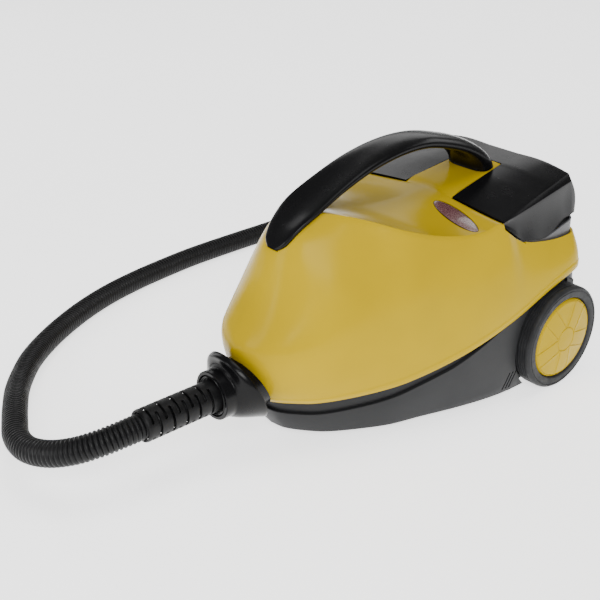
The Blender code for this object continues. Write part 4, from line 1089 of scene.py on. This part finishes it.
def wheel_skins(side):
    name = "left" if side < 0 else "right"
    half = WHEEL_W / 2
    at = Vector((side * (WHEEL_OUT_X - half), AXLE_Y, WHEEL_R))
    radii = [0.5 * k for k in range(1, 79)] + [39.4, 39.9, 40.4, 40.8, CAP_R]
    rings = [(r, [disc_height(r, 360 * j / DISC_SIDES) for j in range(DISC_SIDES)])
             for r in radii]
    rings += [(r, [h] * DISC_SIDES) for r, h in (
        (CAP_R, -8), (CAP_R - 2.6, -8), (CAP_R - 2.6, 5.8), (10, 5.8), (10, -half),
        (4.06, -half), (4.06, 2), (7.6, 2), (7.6, 6.4))]
    disc = loft(f"wheel_disc_skin_{name}",
                [[at + Vector((side * h, r * c, r * s))
                  for h, (c, s) in zip(heights, circle(DISC_SIDES))] for r, heights in rings],
                "yellow_plastic", 50)
    place(disc, f"wheel_disc_{name}", body=f"wheel_{name}")
    r = WHEEL_R
    profile = [(CAP_R + 0.3, -half + 1), (r - 3.4, -half), (r - 1.4, -half + 0.5),
               (r - 0.3, -half + 2), (r, -half + 4)]
    for x in (-4.4, -1.4, 1.6, 4.6):
        profile += [(r, x - 0.9), (r - 0.9, x - 0.5), (r - 0.9, x + 0.5), (r, x + 0.9)]
    profile += [(r, half - 4), (r - 0.3, half - 2), (r - 1.4, half - 0.5), (r - 2.4, half - 0.05),
                (r - 3.4, half), (r - 3.7, half - 0.5), (r - 4.3, half - 0.5), (r - 4.6, half),
                (CAP_R + 2.6, half), (CAP_R + 1.2, half - 0.5), (CAP_R + 0.3, half - 2)]
    place(turned(f"tyre_skin_{name}", profile, at, (side, 0, 0), "tyre_rubber", 128, 40),
          f"tyre_{name}", body=f"wheel_{name}")


def caster_skins():
    x, y = CASTER_AT
    axle = (x, y + CASTER_TRAIL, CASTER_R)
    profile = [(0, 26.5), (14.0, 26.5), (14.5, 27), (14.5, 30.2), (13.6, 31), (7, 32.4),
               (5.02, 32.4), (5.02, 43), (0, 43)]
    head = turned("caster_fork_skin", profile, (x, y, 0), UP)
    tip = [(axle[1] + 5.2 * sin(a), 11.2 - 5.0 * cos(a))
           for a in (radians(d) for d in range(-60, 75, 15))]
    cheek = [(y - 8, 27.5)] + tip + [(y + 11, 27.5)]
    join(head, [prism("cheek", cheek, 0, x + side * 6.2, x + side * 8.6) for side in (1, -1)])
    cut(head, [rod(axle, 2.2, 30, X_AXIS)])
    place(soften(head, 0.4, 50), "caster_fork", body="caster_swivel")
    half = [(2.06, 5.2), (3.6, 5.2), (4.0, 4.4), (8.2, 4.4), (8.6, 5.2), (9.8, 5.2), (10.6, 4.7),
            (CASTER_R, 3.8)]
    place(turned("caster_wheel_skin", [(r, -h) for r, h in half] + half[::-1], axle, X_AXIS,
                 "grey_plastic"), "caster_wheel", body="caster_roller")


# ---- filler and small fittings
CAP_SIDES = 144
CAP_RIBS = 24


def filler_skins():
    at = (*CAP_AT, 0)
    bore = [(9.6, 128), (12.2, 128)]
    for k in range(5):
        z = 160.2 + 1.2 * k
        bore += [(12.2, z), (12.5, z + 0.3), (12.5, z + 0.5), (12.2, z + 0.8)]
    place(turned("filler_neck_skin", bore + [(12.2, 166), (9.6, 166)], at, UP, "brass"),
          "filler_neck")
    profile = [(0, 150), (8.4, 150), (9.0, 150.8), (9.0, 166.3), (12.0, 166.3), (12.0, 168.2),
               (0, 168.2)]
    place(turned("filler_seal_skin", profile, at, UP, "hose_rubber", 48), "filler_cap_seal",
          body="cap_seal")
    profile = [(0.0, 181.2, 0), (8, 181.3, 0), (13.4, 181.0, 0), (15, 180.6, 0), (18.3, 179.3, 0),
               (19.4, 178.3, 1), (19.9, 176.5, 1), (20.0, 171, 1), (19.4, 167.5, 1),
               (17.8, 160.8, 1), (17.2, 160.0, 0), (13.4, 158.7, 0), (12.9, 159.0, 0),
               (12.9, 168.5, 0), (0.0, 168.5, 0)]  # radius, Z, whether the grip's ribs cut it
    dips = [0.9 * max(0.0, -cos(CAP_RIBS * tau * j / CAP_SIDES)) ** 0.6
            for j in range(CAP_SIDES)]
    grid = []
    for r, z, ribbed in profile:
        grid.append([((r - ribbed * dip) * c + CAP_AT[0], (r - ribbed * dip) * s + CAP_AT[1], z)
                     for dip, (c, s) in zip(dips, circle(CAP_SIDES))])
    place(build("filler_cap_skin", [grid], close=True), "filler_cap", body="cap")
    grip = box("filler_cap_grip", (CAP_AT[0] - 13, CAP_AT[1] - 2.2, 180.4),
               (CAP_AT[0] + 13, CAP_AT[1] + 2.2, 183.0), radius=2.0)
    place(soften(grip, 0.7), body="cap")


def rear_skins():
    profile = [(3.6, -9), (6.0, -9), (6.0, 0.3), (9.6, 0.3), (9.8, 0.9), (9.4, 2.2), (8.6, 3.2),
               (7.6, 3.6), (4.2, 3.6), (3.6, 3.0)]
    place(turned("gland_skin", profile, (-45, 190.9, 45), Y_AXIS, "hose_rubber"), "cable_gland")
    body = box("switch_skin", (-15, 176, 60.5), (15, 191.2, 83.5))
    join(body, [prism("bezel", rounded_rect(17.5, 14, 2.0, (0, 72)), 1, 191.0, 192.9)])
    cut(body, [box("pocket", (-12.4, 180, 62.2), (12.4, 198, 81.8))])
    place(soften(body, 0.45, 50), "switch_body")
    face = [(190 - 0.1 * k / 8 if k <= 8 else 189.9 + 3.1 * (k - 8) / 8, 64.2 + 15.6 * k / 16)
            for k in range(17)]
    rocker = prism("rocker_skin", [(184.2, 64.2)] + face + [(184.2, 79.8)], 0, -12, 12)
    place(soften(rocker, 0.5, 50), "power_rocker", body="rocker")


LENS_AT = (55.5, 46.3)
LENS_A, LENS_B, LENS_TURN = 31.5, 9.8, -11.8


def lens_ring(grow, lift):
    turn = radians(LENS_TURN)
    points = []
    for c, s in circle(72):
        u, v = (LENS_A + grow) * c, (LENS_B + grow) * s
        x = LENS_AT[0] + u * cos(turn) - v * sin(turn)
        y = LENS_AT[1] + u * sin(turn) + v * cos(turn)
        points.append((x, y, 186.1 - 0.127 * (x - LENS_AT[0]) + lift))
    return points


def lens_skin():
    steps = ((0, -3.2), (0, 0.0), (-0.3, 0.4), (-1.2, 0.75), (-3.0, 0.95), (-5.5, 1.1),
             (-8.0, 1.15))
    place(loft("lens_skin", [lens_ring(*step) for step in steps], "red_lens", 40),
          "indicator_lens")
    steps = ((-0.1, -2.5), (-0.1, 0.3), (0.15, 0.45), (0.42, 0.3), (0.42, -2.5))
    place(build("lens_rim", [[lens_ring(*step) for step in steps]], sharp=40, close=True))


# ---- CAD pieces that keep their own shape
KEPT_SLOT = {  # those that aren't steel
    "safety_valve": "brass", "hose_connector": "brass", "gun_tube": "brass",
    "pressure_switch": "white_plastic", "thermostat": "white_plastic",
    "terminal_block": "white_plastic", "indicator_board": "white_plastic",
    "solenoid_valve": "black_plastic"}


def dress_kept():
    """Colour the CAD pieces that no visual piece stands for."""
    for name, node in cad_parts.items():
        if name not in REPLACED:
            node.data.materials.clear()
            node.data.materials.append(MATERIALS[KEPT_SLOT.get(name, "steel")])


# ---- floor and light
def area_light(name, at, size, power, aim=(0, 0, 0.1)):
    data = bpy.data.lights.new(name, "AREA")
    data.shape = "RECTANGLE"
    data.size, data.size_y = size
    data.energy = power
    obj = add_object(name, data)
    obj.location = at
    obj.rotation_euler = (Vector(aim) - Vector(at)).to_track_quat("-Z", "Y").to_euler()


def surroundings():
    world = bpy.data.worlds.new("studio")
    world.use_nodes = True
    background = world.node_tree.nodes["Background"]
    background.inputs["Color"].default_value = (1.0, 1.0, 1.0, 1.0)
    background.inputs["Strength"].default_value = 0.25
    bpy.context.scene.world = world
    n = Nodes("floor")
    base = n.blend(n.span(n.noise(400, 2), 0.3, 0.7), (0.93, 0.93, 0.93), (0.96, 0.96, 0.96))
    n.dress(Base_Color=base, Roughness=0.8, Emission_Color=(1.0, 1.0, 1.0, 1.0),
            Emission_Strength=1.6)
    mesh = bpy.data.meshes.new("floor")
    mesh.from_pydata([(-6, -6, 0), (6, -6, 0), (6, 6, 0), (-6, 6, 0)], [], [(0, 1, 2, 3)])
    mesh.materials.append(n.material)
    floor = add_object("floor", mesh)
    area_light("key", (1.5, -1.3, 1.5), (1.2, 0.9), 48)
    area_light("top", (0.2, 0.1, 2.4), (1.4, 1.4), 22)
    area_light("front", (-0.6, -2.3, 1.0), (0.5, 1.2), 16)
    area_light("left", (-2.2, -0.2, 0.9), (0.6, 1.6), 10)
    area_light("back", (0.4, 2.4, 1.6), (1.8, 0.7), 12)
    area_light("window", (-1.8, 1.8, 1.3), (2.0, 1.0), 10, (0, 0, 0.15))


# ---- making
def main():
    camera()
    hose, line, length = hose_skin()
    tie = hose_tie()
    relief = relief_skin()
    gun = gun_skins()
    for make in (shell_skin, base_skin, lid_skin, well_skin, rim_skin, handle_skin, flange_skin,
                 socket_skin):
        make()
    wheel_skins(-1)
    wheel_skins(1)
    for make in (caster_skins, filler_skins, rear_skins, lens_skin, dress_kept, surroundings):
        make()


main()
